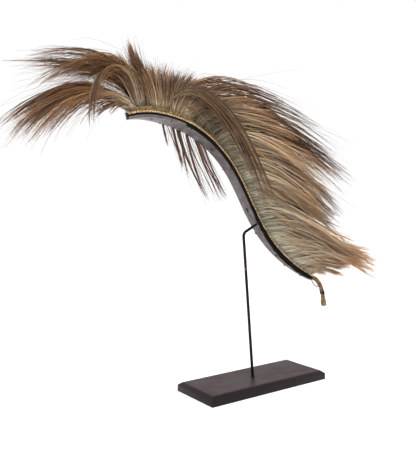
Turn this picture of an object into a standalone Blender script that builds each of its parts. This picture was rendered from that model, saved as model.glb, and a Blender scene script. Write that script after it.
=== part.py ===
"""A hair roach headdress tied on a curved bar, held up by a bent rod on a black block.

The block's underside is centred on the origin. +X runs along the block's long side towards
the tail of the headdress, +Y across the block to the far side, +Z up. All lengths are metres.
"""

import math

import bmesh
import bpy
import numpy as np
from mathutils import Matrix, Vector

# Block and rod
BLOCK_LENGTH = 0.254
BLOCK_WIDTH = 0.1016
BLOCK_THICKNESS = 0.0158
BLOCK_CHAMFER = 0.0065
BLOCK_CHAMFER_DROP = 0.0048
ROD_DIAMETER = 0.005
ROD_FOOT_X = -0.0025
ROD_SOCKET_DEPTH = 0.010
ROD_BEND_RADIUS = 0.009
ROD_ARM_LENGTH = 0.033
ROD_ARM_SAG = math.radians(8)
ROD_ARM_INSET = 0.004

# Bar, felt, woven base and its edging
SPINE_LENGTH = 0.506
SEAT_SHARE = 0.650
SEAT_X = 0.0115
SEAT_Z = 0.287
BAR_WIDTH = 0.038
BAR_THICKNESS = 0.004
FELT_THICKNESS = 0.0025
SLOT_LENGTH = 0.0085
SLOT_WIDTH = 0.0025
WEAVE_THICKNESS = 0.0095
EDGING_DIAMETER = 0.0032
END_MARGIN = 0.0105

# Hair
PLUME_LENGTH = 0.220
CURL_LENGTH = 0.195
LOOSE_LENGTH = 0.305
BRISTLE_LENGTH = 0.080
CREST_LENGTH = 0.360
FLANK_LENGTH = 0.300
HANGING_LENGTH = 0.140
LOCK_THICKNESS = 0.0065
ROW_SHARE = 0.66
ROW_THICKNESS_SHARE = 0.18

# Tail cord
TAIL_CORD_DIAMETER = 0.0075
TAIL_CORD_LIFT = 0.0005
TAIL_WRAP_LENGTH = 0.0125
TAIL_WRAP_WIDTH = 0.0082

# Finishes
HAIR_ROUGHNESS = 0.7
CLOTH_ROUGHNESS = 0.9

# Clearances
GAP = 0.0003
SOCKET_GAP = 0.0003
ROOT_GAP = 0.0004
EDGING_GAP = 0.0006

# Direction of the bar's run in degrees above +X, at shares of SPINE_LENGTH from the front end.
SPINE_HEADINGS = (
    (0.000, 16.0),
    (0.031, 9.0),
    (0.095, -5.0),
    (0.150, -10.0),
    (0.217, -20.0),
    (0.285, -30.0),
    (0.352, -40.0),
    (0.418, -49.0),
    (0.485, -57.0),
    (0.553, -60.5),
    (0.622, -58.5),
    (0.692, -51.5),
    (0.769, -43.0),
    (0.852, -34.5),
    (0.945, -27.0),
    (1.000, -24.0),
)

# Width of the bar as a share of BAR_WIDTH, at shares of SPINE_LENGTH.
BAR_WIDTHS = (
    (0.000, 0.25),
    (0.006, 0.45),
    (0.018, 0.66),
    (0.040, 0.83),
    (0.080, 0.95),
    (0.130, 1.00),
    (0.200, 0.94),
    (0.270, 0.82),
    (0.350, 0.69),
    (0.450, 0.63),
    (0.600, 0.63),
    (0.700, 0.60),
    (0.800, 0.54),
    (0.880, 0.47),
    (0.950, 0.39),
    (1.000, 0.30),
)

# Height of the woven base as a share of WEAVE_THICKNESS.
WEAVE_HEIGHTS = ((0.0, 0.75), (0.06, 1.0), (0.14, 0.95), (0.24, 0.62), (0.36, 0.48), (1.0, 0.45))

# Slots for the tie threads along the bar's middle.
SLOT_SHARES = (0.085, 0.339, 0.594, 0.804)

# Locks. Each row: station, launch and end direction in degrees above +X, length as a share of
# the fan's hair length, sideways reach as a share of the lock's length, and the share of the
# lock's length at which half of its turn is done.
FRONT_PLUME = (
    (-0.80, 149, 238, 0.80, -0.10, 0.40),
    (-0.42, 147, 235, 0.88, -0.06, 0.40),
    (-0.05, 144, 230, 0.99, 0.00, 0.42),
    (0.34, 141, 224, 1.00, 0.07, 0.42),
    (0.76, 138, 217, 0.90, 0.16, 0.42),
)
CROWN_PLUME = (
    (-0.24, 105, 225, 0.90, -0.09, 0.34),
    (-0.08, 102, 218, 0.98, -0.03, 0.35),
    (0.08, 102, 209, 1.02, 0.04, 0.36),
    (0.24, 106, 198, 0.98, 0.10, 0.36),
)
STANDING_TUFT = (
    (0.084, 114, 121, 1.05, -0.02, 0.50),
    (0.106, 109, 115, 1.35, 0.02, 0.50),
    (0.128, 101, 99, 0.95, 0.02, 0.50),
)
NEAR_BRISTLES = (
    (0.082, 103, 122, 0.84, 0.22, 0.50),
    (0.104, 97, 104, 0.82, 0.20, 0.50),
    (0.126, 91, 80, 0.84, 0.18, 0.50),
    (0.148, 84, 48, 0.88, 0.18, 0.50),
)
FRONT_CURL = (
    (0.048, 114, 272, 1.08, 0.20, 0.60),
    (0.062, 110, 268, 1.14, 0.24, 0.59),
)
LOOSE_LOCK = (
    (0.168, 80, -70, 1.05, 0.23, 0.27),
    (0.182, 80, -73, 1.05, 0.17, 0.27),
)
FAR_BRISTLES = (
    (0.072, 110, 165, 1.30, 0.34, 0.45),
    (0.098, 103, 116, 0.95, 0.32, 0.50),
    (0.126, 94, 92, 1.00, 0.28, 0.50),
    (0.154, 84, 40, 1.20, 0.24, 0.40),
    (0.182, 76, 6, 1.50, 0.22, 0.35),
)
CREST = (
    (0.160, 86, -12, 0.63, -0.01, 0.36),
    (0.194, 80, -15, 0.78, 0.03, 0.30),
    (0.230, 75, -18, 0.89, 0.00, 0.26),
    (0.272, 70, -23, 0.98, 0.04, 0.25),
    (0.320, 64, -27, 1.01, 0.00, 0.24),
    (0.370, 59, -30, 1.01, 0.04, 0.23),
    (0.425, 53, -33, 0.98, -0.01, 0.22),
    (0.485, 44, -34, 0.88, 0.06, 0.22),
    (0.555, 34, -34, 0.77, -0.01, 0.22),
    (0.630, 24, -32, 0.68, 0.05, 0.22),
    (0.710, 17, -27, 0.60, 0.00, 0.22),
)
NEAR_FLANK = (
    (0.212, 60, -8, 0.50, 0.14, 0.26),
    (0.250, 55, -13, 0.55, 0.18, 0.25),
    (0.288, 49, -19, 0.62, 0.14, 0.24),
    (0.326, 43, -24, 0.72, 0.18, 0.23),
    (0.365, 38, -28, 0.82, 0.14, 0.22),
    (0.406, 33, -31, 0.88, 0.17, 0.21),
    (0.450, 28, -33, 0.82, 0.13, 0.20),
    (0.496, 24, -35, 0.75, 0.17, 0.20),
    (0.544, 20, -35, 0.73, 0.10, 0.20),
    (0.594, 16, -33, 0.76, 0.15, 0.20),
    (0.646, 13, -28, 0.81, 0.10, 0.20),
    (0.698, 12, -25, 0.88, 0.15, 0.20),
    (0.752, 14, -23, 0.80, 0.10, 0.20),
    (0.806, 18, -21, 0.66, 0.15, 0.20),
    (0.860, 22, -19, 0.53, 0.10, 0.22),
    (0.914, 28, -20, 0.42, 0.13, 0.25),
    (0.968, 38, -20, 0.32, 0.08, 0.30),
)
FAR_FLANK = (
    (0.232, 64, -8, 0.60, 0.18, 0.26),
    (0.286, 56, -16, 0.68, 0.22, 0.25),
    (0.340, 48, -23, 0.80, 0.18, 0.23),
    (0.396, 40, -29, 0.88, 0.21, 0.22),
    (0.454, 32, -33, 0.84, 0.13, 0.20),
    (0.516, 25, -35, 0.77, 0.18, 0.20),
    (0.582, 18, -33, 0.77, 0.13, 0.20),
    (0.652, 14, -29, 0.82, 0.18, 0.20),
    (0.724, 15, -24, 0.86, 0.13, 0.20),
    (0.800, 19, -21, 0.70, 0.18, 0.20),
    (0.876, 24, -19, 0.50, 0.13, 0.22),
    (0.952, 36, -20, 0.35, 0.13, 0.28),
)
HANGING_LOCKS = (
    (0.160, -74, -70, 0.34, 0.10, 0.50),
    (0.196, -66, -62, 0.82, 0.10, 0.50),
    (0.240, -62, -58, 1.00, 0.10, 0.50),
    (0.286, -56, -50, 0.92, 0.10, 0.50),
)

# Stations of the front fans along the spine.
FRONT_PLUME_SHARE = 0.022
CROWN_PLUME_SHARE = 0.050

# Shape shared by every lock.
LOCK_LEVELS = 9
SPLIT_LEVEL = 4
TURN_SHARPNESS = 2.0
REACH_POWER = 1.6
LOCK_EDGE_SHARE = 0.3
LOCK_TIP_SHARE = 0.22
LOCK_SWELL_SHARE = 0.3
LOCK_TAPER_POWER = 0.75

# Route of the tail cord from its start at the end of the bar, as distances in X and Z.
TAIL_CORD_ROUTE = (
    (0.0000, 0.0000),
    (0.0080, -0.0036),
    (0.0160, -0.0088),
    (0.0230, -0.0165),
    (0.0285, -0.0265),
    (0.0320, -0.0375),
    (0.0335, -0.0465),
)

SPINE_STEPS = 400
BAR_STATIONS = 45
EDGING_STATIONS = 46
END_CROWDING = 0.8


def tabled(table, share):
    """Value of a two-column table at a share, on a straight run between its rows."""
    shares = [row[0] for row in table]
    values = [row[1] for row in table]
    return float(np.interp(share, shares, values))


def spine_points():
    """Points of the line where felt and woven base meet, from the front end to the tail."""
    step = SPINE_LENGTH / SPINE_STEPS
    points = [Vector((0.0, 0.0))]
    for index in range(SPINE_STEPS):
        heading = math.radians(tabled(SPINE_HEADINGS, (index + 0.5) / SPINE_STEPS))
        points.append(points[-1] + step * Vector((math.cos(heading), math.sin(heading))))
    seat = points[round(SEAT_SHARE * SPINE_STEPS)]
    shift = Vector((SEAT_X, SEAT_Z)) - seat
    return [point + shift for point in points]


SPINE = spine_points()


def heading_at(share):
    return math.radians(tabled(SPINE_HEADINGS, share))


def bar_width(share):
    return BAR_WIDTH * tabled(BAR_WIDTHS, share)


BODY_Y = bar_width(SEAT_SHARE) / 2 - ROD_ARM_INSET


def on_spine(share, lift=0.0, side=0.0):
    """Point at a share of the spine, lifted off it along its outward normal and moved across."""
    place = min(max(share, 0.0), 1.0) * SPINE_STEPS
    low = min(int(place), SPINE_STEPS - 1)
    flat = SPINE[low].lerp(SPINE[low + 1], place - low)
    heading = heading_at(share)
    flat = flat + lift * Vector((-math.sin(heading), math.cos(heading)))
    return Vector((flat.x, BODY_Y + side, flat.y))


def weave_width(share):
    return bar_width(share) - 2 * (EDGING_DIAMETER + EDGING_GAP)


def weave_height(share):
    return WEAVE_THICKNESS * tabled(WEAVE_HEIGHTS, share)


def weave_top(share):
    return GAP + weave_height(share)


def new_object(name, mesh_data, colour, roughness):
    """An object with its own Principled material."""
    material = bpy.data.materials.new(name)
    material.use_nodes = True
    shader = material.node_tree.nodes["Principled BSDF"]
    shader.inputs["Base Color"].default_value = (*colour, 1.0)
    shader.inputs["Roughness"].default_value = roughness
    mesh_data.materials.append(material)
    made = bpy.data.objects.new(name, mesh_data)
    bpy.context.scene.collection.objects.link(made)
    return made


def to_mesh(name, shape):
    bmesh.ops.recalc_face_normals(shape, faces=shape.faces)
    mesh = bpy.data.meshes.new(name)
    shape.to_mesh(mesh)
    shape.free()
    return mesh


def cut(target, cutter):
    """Take the cutter's shape out of the target."""
    cutter.hide_render = True
    cutter.display_type = "WIRE"
    tool = target.modifiers.new("cut", "BOOLEAN")
    tool.operation = "DIFFERENCE"
    tool.solver = "EXACT"
    tool.object = cutter


def ring(shape, corners):
    """A closed loop of edges through the corners."""
    points = [shape.verts.new(corner) for corner in corners]
    return [shape.edges.new((points[i], points[(i + 1) % len(points)])) for i in range(len(points))]


def loft(name, sections):
    """A closed solid bridged through loops of equal corner count, with flat ends."""
    shape = bmesh.new()
    rings = [ring(shape, section) for section in sections]
    for first, second in zip(rings, rings[1:]):
        bmesh.ops.bridge_loops(shape, edges=first + second)
    for end in (rings[0], rings[-1]):
        bmesh.ops.contextual_create(shape, geom=end)
    return to_mesh(name, shape)


def station_share(index, count):
    """Share of a run at one of its stations, which lie closer together near both ends."""
    even = index / (count - 1)
    eased = (1 - math.cos(math.pi * even)) / 2
    return even + END_CROWDING * (eased - even)


def strip_sections(first, last, width_at, low_at, high_at, count):
    """Rectangles across the spine from its share first to last."""
    sections = []
    for index in range(count):
        share = first + (last - first) * station_share(index, count)
        half = width_at(share) / 2
        low, high = low_at(share), high_at(share)
        corners = ((low, -half), (low, half), (high, half), (high, -half))
        sections.append([on_spine(share, lift, side) for lift, side in corners])
    return sections


def make_block():
    shape = bmesh.new()
    bmesh.ops.create_cube(shape, size=1.0)
    straight = BLOCK_THICKNESS - BLOCK_CHAMFER_DROP
    bmesh.ops.scale(shape, vec=(BLOCK_LENGTH, BLOCK_WIDTH, straight), verts=shape.verts)
    bmesh.ops.translate(shape, vec=(0, 0, straight / 2), verts=shape.verts)
    top = [face for face in shape.faces if face.normal.z > 0.5]
    raised = bmesh.ops.extrude_face_region(shape, geom=top)["geom"]
    corners = [item for item in raised if isinstance(item, bmesh.types.BMVert)]
    bmesh.ops.delete(shape, geom=top, context="FACES_ONLY")
    inset = (1 - 2 * BLOCK_CHAMFER / BLOCK_LENGTH, 1 - 2 * BLOCK_CHAMFER / BLOCK_WIDTH, 1)
    bmesh.ops.scale(shape, vec=inset, verts=corners)
    bmesh.ops.translate(shape, vec=(0, 0, BLOCK_CHAMFER_DROP), verts=corners)
    block = new_object("base_block", to_mesh("base_block", shape), (0.018, 0.014, 0.014), 0.42)

    socket = bmesh.new()
    bmesh.ops.create_cone(
        socket,
        cap_ends=True,
        segments=24,
        radius1=ROD_DIAMETER / 2 + SOCKET_GAP,
        radius2=ROD_DIAMETER / 2 + SOCKET_GAP,
        depth=2 * ROD_SOCKET_DEPTH,
    )
    lean = (rod_corner() - rod_foot()).normalized()
    turn = Vector((0, 0, 1)).rotation_difference(lean).to_matrix().to_4x4()
    bmesh.ops.transform(socket, matrix=Matrix.Translation(rod_foot()) @ turn, verts=socket.verts)
    cut(block, new_object("socket_cutter", to_mesh("socket_cutter", socket), (0, 0, 0), 1.0))


def rod_foot():
    return Vector((ROD_FOOT_X, 0.0, BLOCK_THICKNESS))


def rod_end():
    """Where the rod's arm stops, just under the bar and near its near edge."""
    under = FELT_THICKNESS + GAP + BAR_THICKNESS + GAP + ROD_DIAMETER / 2 * math.tan(ROD_ARM_SAG)
    return on_spine(SEAT_SHARE, -under, -BODY_Y)


def rod_corner():
    rise = heading_at(SEAT_SHARE) + math.pi / 2 - ROD_ARM_SAG
    return rod_end() - ROD_ARM_LENGTH * Vector((math.cos(rise), 0, math.sin(rise)))


def make_rod():
    foot, corner, end = rod_foot(), rod_corner(), rod_end()
    up = (corner - foot).normalized()
    arm = (end - corner).normalized()
    turn = up.angle(arm)
    run = ROD_BEND_RADIUS * math.tan(turn / 2)
    across = (arm - up * up.dot(arm)).normalized()
    centre = corner - run * up + ROD_BEND_RADIUS * across
    route = [foot - (ROD_SOCKET_DEPTH - SOCKET_GAP) * up]
    bends = 8
    for index in range(bends + 1):
        angle = turn * index / bends
        offset = -math.cos(angle) * across + math.sin(angle) * up
        route.append(centre + ROD_BEND_RADIUS * offset)
    route.append(end)
    tube("support_rod", route, ROD_DIAMETER, 4, (0.012, 0.011, 0.011), 0.4, False)


def tube(name, route, diameter, resolution, colour, roughness, cyclic):
    """A round tube along a route, with filled ends where it isn't a loop."""
    curve = bpy.data.curves.new(name, "CURVE")
    curve.dimensions = "3D"
    curve.bevel_depth = diameter / 2
    curve.bevel_resolution = resolution
    curve.use_fill_caps = not cyclic
    spline = curve.splines.new("POLY")
    spline.points.add(len(route) - 1)
    for point, place in zip(spline.points, route):
        point.co = (*place, 1.0)
    spline.use_cyclic_u = cyclic
    return new_object(name, curve, colour, roughness)


def make_bar():
    sections = strip_sections(
        0.0,
        1.0,
        bar_width,
        lambda share: -(FELT_THICKNESS + GAP + BAR_THICKNESS),
        lambda share: -(FELT_THICKNESS + GAP),
        BAR_STATIONS,
    )
    bar = new_object("mount_bar", loft("mount_bar", sections), (0.11, 0.1, 0.1), 0.4)
    slots = bmesh.new()
    for share in SLOT_SHARES:
        middle = on_spine(share, -(FELT_THICKNESS + GAP + BAR_THICKNESS / 2))
        size = (SLOT_LENGTH, SLOT_WIDTH, 2 * BAR_THICKNESS)
        turn = Matrix.Rotation(-heading_at(share), 4, "Y")
        place = Matrix.Translation(middle) @ turn @ Matrix.Diagonal((*size, 1.0))
        bmesh.ops.create_cube(slots, size=1.0, matrix=place)
    cut(bar, new_object("slot_cutter", to_mesh("slot_cutter", slots), (0, 0, 0), 1.0))


def make_felt():
    sections = strip_sections(
        0.0,
        1.0,
        bar_width,
        lambda share: -FELT_THICKNESS,
        lambda share: 0.0,
        BAR_STATIONS,
    )
    new_object("felt_strip", loft("felt_strip", sections), (0.006, 0.006, 0.006), CLOTH_ROUGHNESS)


def make_weave():
    margin = END_MARGIN / SPINE_LENGTH
    sections = strip_sections(
        margin,
        1 - margin,
        weave_width,
        lambda share: GAP,
        weave_top,
        BAR_STATIONS,
    )
    new_object("woven_base", loft("woven_base", sections), (0.35, 0.26, 0.15), CLOTH_ROUGHNESS)


def make_edging():
    """The binding that runs round the woven base, on the felt."""
    lift = GAP + EDGING_DIAMETER / 2
    inset = EDGING_DIAMETER / 2
    end = inset / SPINE_LENGTH
    near, far = [], []
    for index in range(EDGING_STATIONS):
        share = end + (1 - 2 * end) * station_share(index, EDGING_STATIONS)
        half = bar_width(share) / 2 - inset
        near.append(on_spine(share, lift, -half))
        far.append(on_spine(share, lift, half))
    tube("edging_cord", near + far[::-1], EDGING_DIAMETER, 2, (0.42, 0.3, 0.16), CLOTH_ROUGHNESS, True)


def lock_path(root, launch, finish, length, reach, turn_at):
    """Points of one lock from its root to its tip."""
    step = length / LOCK_LEVELS
    flat = Vector((root.x, root.z))
    points = [root.copy()]
    whole = 1 / (1 + turn_at**TURN_SHARPNESS)
    for index in range(LOCK_LEVELS):
        share = (index + 0.5) / LOCK_LEVELS
        turned = share**TURN_SHARPNESS / (share**TURN_SHARPNESS + turn_at**TURN_SHARPNESS) / whole
        angle = math.radians(launch + (finish - launch) * turned)
        flat = flat + step * Vector((math.cos(angle), math.sin(angle)))
        out = length * reach * (1 - (1 - (index + 1) / LOCK_LEVELS) ** REACH_POWER)
        points.append(Vector((flat.x, root.y + out, flat.y)))
    return points


def hair_fan(name, rows, hair_length, side, root_at, root_axis, root_thickness, colour):
    """Locks that share one backing up to SPLIT_LEVEL and end in tips of their own."""
    stations = [row[0] for row in rows]
    between = [(a + b) / 2 for a, b in zip(stations, stations[1:])]
    first = stations[0] - (between[0] - stations[0])
    last = stations[-1] + (stations[-1] - between[-1])
    edges = [first, *between, last]
    columns = sorted(stations + edges)
    paths = []
    for station in columns:
        launch, finish, share, reach, turn_at = (
            float(np.interp(station, stations, [row[k] for row in rows])) for k in range(1, 6)
        )
        length = hair_length * share
        paths.append(lock_path(root_at(station), launch, finish, length, side * reach, turn_at))

    def thickness(column, level):
        along = level / LOCK_LEVELS
        root = root_thickness(columns[column])
        swell = root + (LOCK_THICKNESS - root) * min(1.0, along / LOCK_SWELL_SHARE)
        past = max(0.0, along - LOCK_SWELL_SHARE) / (1 - LOCK_SWELL_SHARE)
        taper = 1 - (1 - LOCK_TIP_SHARE) * past
        edge = 1.0 if column % 2 or level == 0 else LOCK_EDGE_SHARE
        return swell * taper * edge

    def normal(column, level, points):
        left = paths[max(column - 1, 0)][level]
        right = paths[min(column + 1, len(columns) - 1)][level]
        below = points[max(level - 1, 0)]
        above = points[min(level + 1, LOCK_LEVELS)]
        return (right - left).cross(above - below).normalized()

    shape = bmesh.new()

    def pair(column, level, points, place):
        """The front and back points of a fan's skin."""
        half = normal(column, level, points) * thickness(column, level) / 2
        if level == 0:
            half = math.copysign(half.length, half.dot(root_axis)) * root_axis
        return shape.verts.new(place + half), shape.verts.new(place - half)

    inner = []
    for column, points in enumerate(paths):
        inner.append([pair(column, level, points, points[level]) for level in range(SPLIT_LEVEL + 1)])

    def skin(left, right):
        """Front and back faces between two columns of pairs."""
        for low_l, high_l, low_r, high_r in zip(left, left[1:], right, right[1:]):
            shape.faces.new((low_l[0], low_r[0], high_r[0], high_l[0]))
            shape.faces.new((high_l[1], high_r[1], low_r[1], low_l[1]))

    def wall(pairs):
        for low, high in zip(pairs, pairs[1:]):
            shape.faces.new((low[0], high[0], high[1], low[1]))

    for left, right in zip(inner, inner[1:]):
        skin(left, right)
        shape.faces.new((left[0][0], left[0][1], right[0][1], right[0][0]))
    wall(inner[0])
    wall(inner[-1])

    for lock in range(len(rows)):
        middle = 2 * lock + 1
        points = paths[middle]
        root = points[SPLIT_LEVEL]
        run = points[SPLIT_LEVEL + 1] - root
        strands = []
        for column in (middle - 1, middle, middle + 1):
            spread = paths[column][SPLIT_LEVEL] - root
            strand = [inner[column][SPLIT_LEVEL]]
            for level in range(SPLIT_LEVEL + 1, LOCK_LEVELS):
                left = (LOCK_LEVELS - level) / (LOCK_LEVELS - SPLIT_LEVEL)
                turn = run.rotation_difference(points[level + 1] - points[level])
                place = points[level] + (turn @ spread) * left**LOCK_TAPER_POWER
                strand.append(pair(column, level, points, place))
            strands.append(strand)
        skin(strands[0], strands[1])
        skin(strands[1], strands[2])
        wall(strands[0])
        wall(strands[2])
        tip = shape.verts.new(points[LOCK_LEVELS])
        last = [strand[-1] for strand in strands]
        for a, b in zip(last, last[1:]):
            shape.faces.new((a[0], b[0], tip))
            shape.faces.new((b[1], a[1], tip))
        for end in (last[0], last[2]):
            shape.faces.new((end[0], end[1], tip))
    return new_object(name, to_mesh(name, shape), colour, HAIR_ROUGHNESS)


def row_root(row):
    """Roots along the woven base, at a row from -1, the near edge, to 1, the far edge."""
    def root(share):
        side = row * weave_width(share) / 2
        return on_spine(share, weave_top(share) + ROOT_GAP, side)

    return root


def row_thickness(share):
    return ROW_THICKNESS_SHARE * weave_width(share)


def cross_root(share):
    """Roots across the woven base at one share of the spine."""
    def root(across):
        side = across * weave_width(share) / 2
        return on_spine(share, weave_top(share) + ROOT_GAP, side)

    return root


def hanging_root(share):
    """Roots on the far side of the edging."""
    side = bar_width(share) / 2 + GAP + LOCK_THICKNESS / 4
    return on_spine(share, GAP + EDGING_DIAMETER / 2, side)


def along_spine(share):
    heading = heading_at(share)
    return Vector((math.cos(heading), 0, math.sin(heading)))


def make_hair():
    long_brown = (0.075, 0.036, 0.018)
    short_grey = (0.24, 0.22, 0.15)
    beige = (0.27, 0.19, 0.12)

    def thin(station):
        return LOCK_THICKNESS / 2

    for name, rows, share in (
        ("front_plume", FRONT_PLUME, FRONT_PLUME_SHARE),
        ("crown_plume", CROWN_PLUME, CROWN_PLUME_SHARE),
    ):
        root, axis = cross_root(share), along_spine(share)
        hair_fan(name, rows, PLUME_LENGTH, 1, root, axis, thin, long_brown)

    across = Vector((0, 1, 0))
    middle, near, far = row_root(0.0), row_root(-ROW_SHARE), row_root(ROW_SHARE)
    for name, rows, hair_length, side, root, thickness, colour in (
        ("standing_tuft", STANDING_TUFT, BRISTLE_LENGTH, 1, middle, row_thickness, long_brown),
        ("front_curl", FRONT_CURL, CURL_LENGTH, -1, near, row_thickness, long_brown),
        ("near_bristles", NEAR_BRISTLES, BRISTLE_LENGTH, -1, near, row_thickness, beige),
        ("loose_lock", LOOSE_LOCK, LOOSE_LENGTH, -1, near, row_thickness, beige),
        ("far_bristles", FAR_BRISTLES, BRISTLE_LENGTH, 1, far, row_thickness, beige),
        ("crest", CREST, CREST_LENGTH, 1, middle, row_thickness, long_brown),
        ("near_flank", NEAR_FLANK, FLANK_LENGTH, -1, near, row_thickness, short_grey),
        ("far_flank", FAR_FLANK, FLANK_LENGTH, 1, far, row_thickness, short_grey),
        ("hanging_locks", HANGING_LOCKS, HANGING_LENGTH, 1, hanging_root, thin, long_brown),
    ):
        hair_fan(name, rows, hair_length, side, root, across, thickness, colour)


def tail_route():
    """Points of the tail cord, on a smooth curve through its route."""
    start = on_spine(1.0, TAIL_CORD_LIFT) + GAP * along_spine(1.0)
    knots = [start + Vector((x, 0, z)) for x, z in TAIL_CORD_ROUTE]
    padded = [2 * knots[0] - knots[1], *knots, 2 * knots[-1] - knots[-2]]
    points = []
    for a, b, c, d in zip(padded, padded[1:], padded[2:], padded[3:]):
        for part in (0.0, 0.5):
            points.append(
                0.5
                * (
                    2 * b
                    + (c - a) * part
                    + (2 * a - 5 * b + 4 * c - d) * part**2
                    + (3 * b - 3 * c + d - a) * part**3
                )
            )
    points.append(knots[-1])
    return points


def make_tail():
    route = tail_route()
    tube("tail_cord", route, TAIL_CORD_DIAMETER, 3, (0.36, 0.27, 0.16), CLOTH_ROUGHNESS, False)
    down = (route[-1] - route[-2]).normalized()
    across = Vector((0, 1, 0))
    along = across.cross(down).normalized()
    half = TAIL_WRAP_WIDTH / 2
    sections = []
    for run in (GAP, GAP + TAIL_WRAP_LENGTH):
        middle = route[-1] + run * down
        corners = ((-half, -half), (half, -half), (half, half), (-half, half))
        sections.append([middle + a * along + b * across for a, b in corners])
    new_object("tail_wrap", loft("tail_wrap", sections), (0.3, 0.23, 0.14), CLOTH_ROUGHNESS)


def clear_scene():
    for old in list(bpy.data.objects):
        bpy.data.objects.remove(old, do_unlink=True)


def main():
    clear_scene()
    make_block()
    make_rod()
    make_bar()
    make_felt()
    make_weave()
    make_edging()
    make_hair()
    make_tail()


main()
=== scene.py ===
# %% [markdown]
# # A hair roach headdress on its stand
# The real thing is a crest of long stiff hair tied into a narrow plaited base. A curved painted
# bar follows the base from below, and a bent black rod carries the bar on a black block. The
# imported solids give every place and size; this lesson dresses them: real hairs instead of solid
# locks, twisted yarn on the base, paint and felt on the stand.

import math

import bmesh
import bpy
import numpy as np
from mathutils import Matrix, Vector


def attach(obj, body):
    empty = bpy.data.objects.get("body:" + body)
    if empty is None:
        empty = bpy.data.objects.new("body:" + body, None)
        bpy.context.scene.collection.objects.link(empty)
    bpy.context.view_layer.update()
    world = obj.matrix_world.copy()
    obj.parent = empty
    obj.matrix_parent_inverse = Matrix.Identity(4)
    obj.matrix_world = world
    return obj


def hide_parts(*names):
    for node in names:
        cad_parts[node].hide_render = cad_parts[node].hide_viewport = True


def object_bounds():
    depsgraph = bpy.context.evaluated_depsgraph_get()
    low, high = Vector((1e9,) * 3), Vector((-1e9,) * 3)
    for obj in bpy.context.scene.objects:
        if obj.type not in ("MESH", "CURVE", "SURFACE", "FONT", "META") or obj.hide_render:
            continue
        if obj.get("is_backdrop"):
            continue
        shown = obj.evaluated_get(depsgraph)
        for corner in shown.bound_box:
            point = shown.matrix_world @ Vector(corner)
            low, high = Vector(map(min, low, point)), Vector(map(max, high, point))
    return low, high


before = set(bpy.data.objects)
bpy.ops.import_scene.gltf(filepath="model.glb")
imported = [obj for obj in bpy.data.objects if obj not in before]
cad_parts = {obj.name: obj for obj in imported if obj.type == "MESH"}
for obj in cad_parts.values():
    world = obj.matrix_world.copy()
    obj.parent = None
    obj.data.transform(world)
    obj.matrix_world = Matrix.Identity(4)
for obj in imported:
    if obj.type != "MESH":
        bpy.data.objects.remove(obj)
cad_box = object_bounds()
print("solids", len(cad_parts))

# %% [markdown]
# ## The camera
# The photograph was taken from the near left, just above the middle of the object and almost
# level. The four corners of the block's top fix that view, so the lens comes from the same fit:
# 570 pixels of focal length on a picture 455 pixels high.

# %% Camera
PICTURE_HEIGHT = 455
FOCAL_PIXELS = 570.0
SENSOR_HEIGHT = 36.0
CAMERA_PLACE = (-0.6430, -0.7592, 0.3193)
FARTHEST_SEEN = 60.0
VIEW_AZIMUTH = math.radians(35.62)
VIEW_DROP = math.radians(2.43)

def in_scene(name, data, where=(0, 0, 0), turn=(0, 0, 0)):
    """Puts data into the scene as an object."""
    made = bpy.data.objects.new(name, data)
    made.location = where
    made.rotation_euler = turn
    bpy.context.scene.collection.objects.link(made)
    return made


camera_data = bpy.data.cameras.new("photo_camera")
camera_data.sensor_fit = "VERTICAL"
camera_data.sensor_height = SENSOR_HEIGHT
camera_data.lens = SENSOR_HEIGHT * FOCAL_PIXELS / PICTURE_HEIGHT
camera_data.clip_end = FARTHEST_SEEN
view_turn = (math.pi / 2 - VIEW_DROP, 0.0, -VIEW_AZIMUTH)
bpy.context.scene.camera = in_scene("photo_camera", camera_data, CAMERA_PLACE, view_turn)
print("lens", round(camera_data.lens, 1))

# %% [markdown]
# ## The line of the base
# Everything on the headdress hangs on one curve: the line where the felt meets the plaited base.
# It is written as directions along its length, as a bent strip is, and added up into points. The
# numbers are those of the part's source, because the solids were laid along the same curve.

# %% Spine of the headdress
SPINE_LENGTH = 0.506
SEAT_SHARE = 0.650
SEAT_X = 0.0115
SEAT_Z = 0.287
BODY_Y = 0.00797
SPINE_STEPS = 400
BAR_WIDTH = 0.038
BAR_THICKNESS = 0.004
FELT_THICKNESS = 0.0025
GAP = 0.0003
SPINE_HEADINGS = (
    (0.000, 16.0), (0.031, 9.0), (0.095, -5.0), (0.150, -10.0), (0.217, -20.0), (0.285, -30.0),
    (0.352, -40.0), (0.418, -49.0), (0.485, -57.0), (0.553, -60.5), (0.622, -58.5),
    (0.692, -51.5), (0.769, -43.0), (0.852, -34.5), (0.945, -27.0), (1.000, -24.0),
)
BAR_WIDTHS = (
    (0.000, 0.25), (0.006, 0.45), (0.018, 0.66), (0.040, 0.83), (0.080, 0.95), (0.130, 1.00),
    (0.200, 0.94), (0.270, 0.82), (0.350, 0.69), (0.450, 0.63), (0.600, 0.63), (0.700, 0.60),
    (0.800, 0.54), (0.880, 0.47), (0.950, 0.39), (1.000, 0.30),
)


def tabled(table, share, column=1):
    """Values between a table's rows, for one share or many."""
    return np.interp(share, [row[0] for row in table], [row[column] for row in table])


steps = (np.arange(SPINE_STEPS) + 0.5) / SPINE_STEPS
turns = np.radians(tabled(SPINE_HEADINGS, steps))
runs = SPINE_LENGTH / SPINE_STEPS * np.column_stack((np.cos(turns), np.sin(turns)))
spine_line = np.vstack((np.zeros(2), np.cumsum(runs, axis=0)))
spine_line += np.array((SEAT_X, SEAT_Z)) - spine_line[round(SEAT_SHARE * SPINE_STEPS)]


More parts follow.
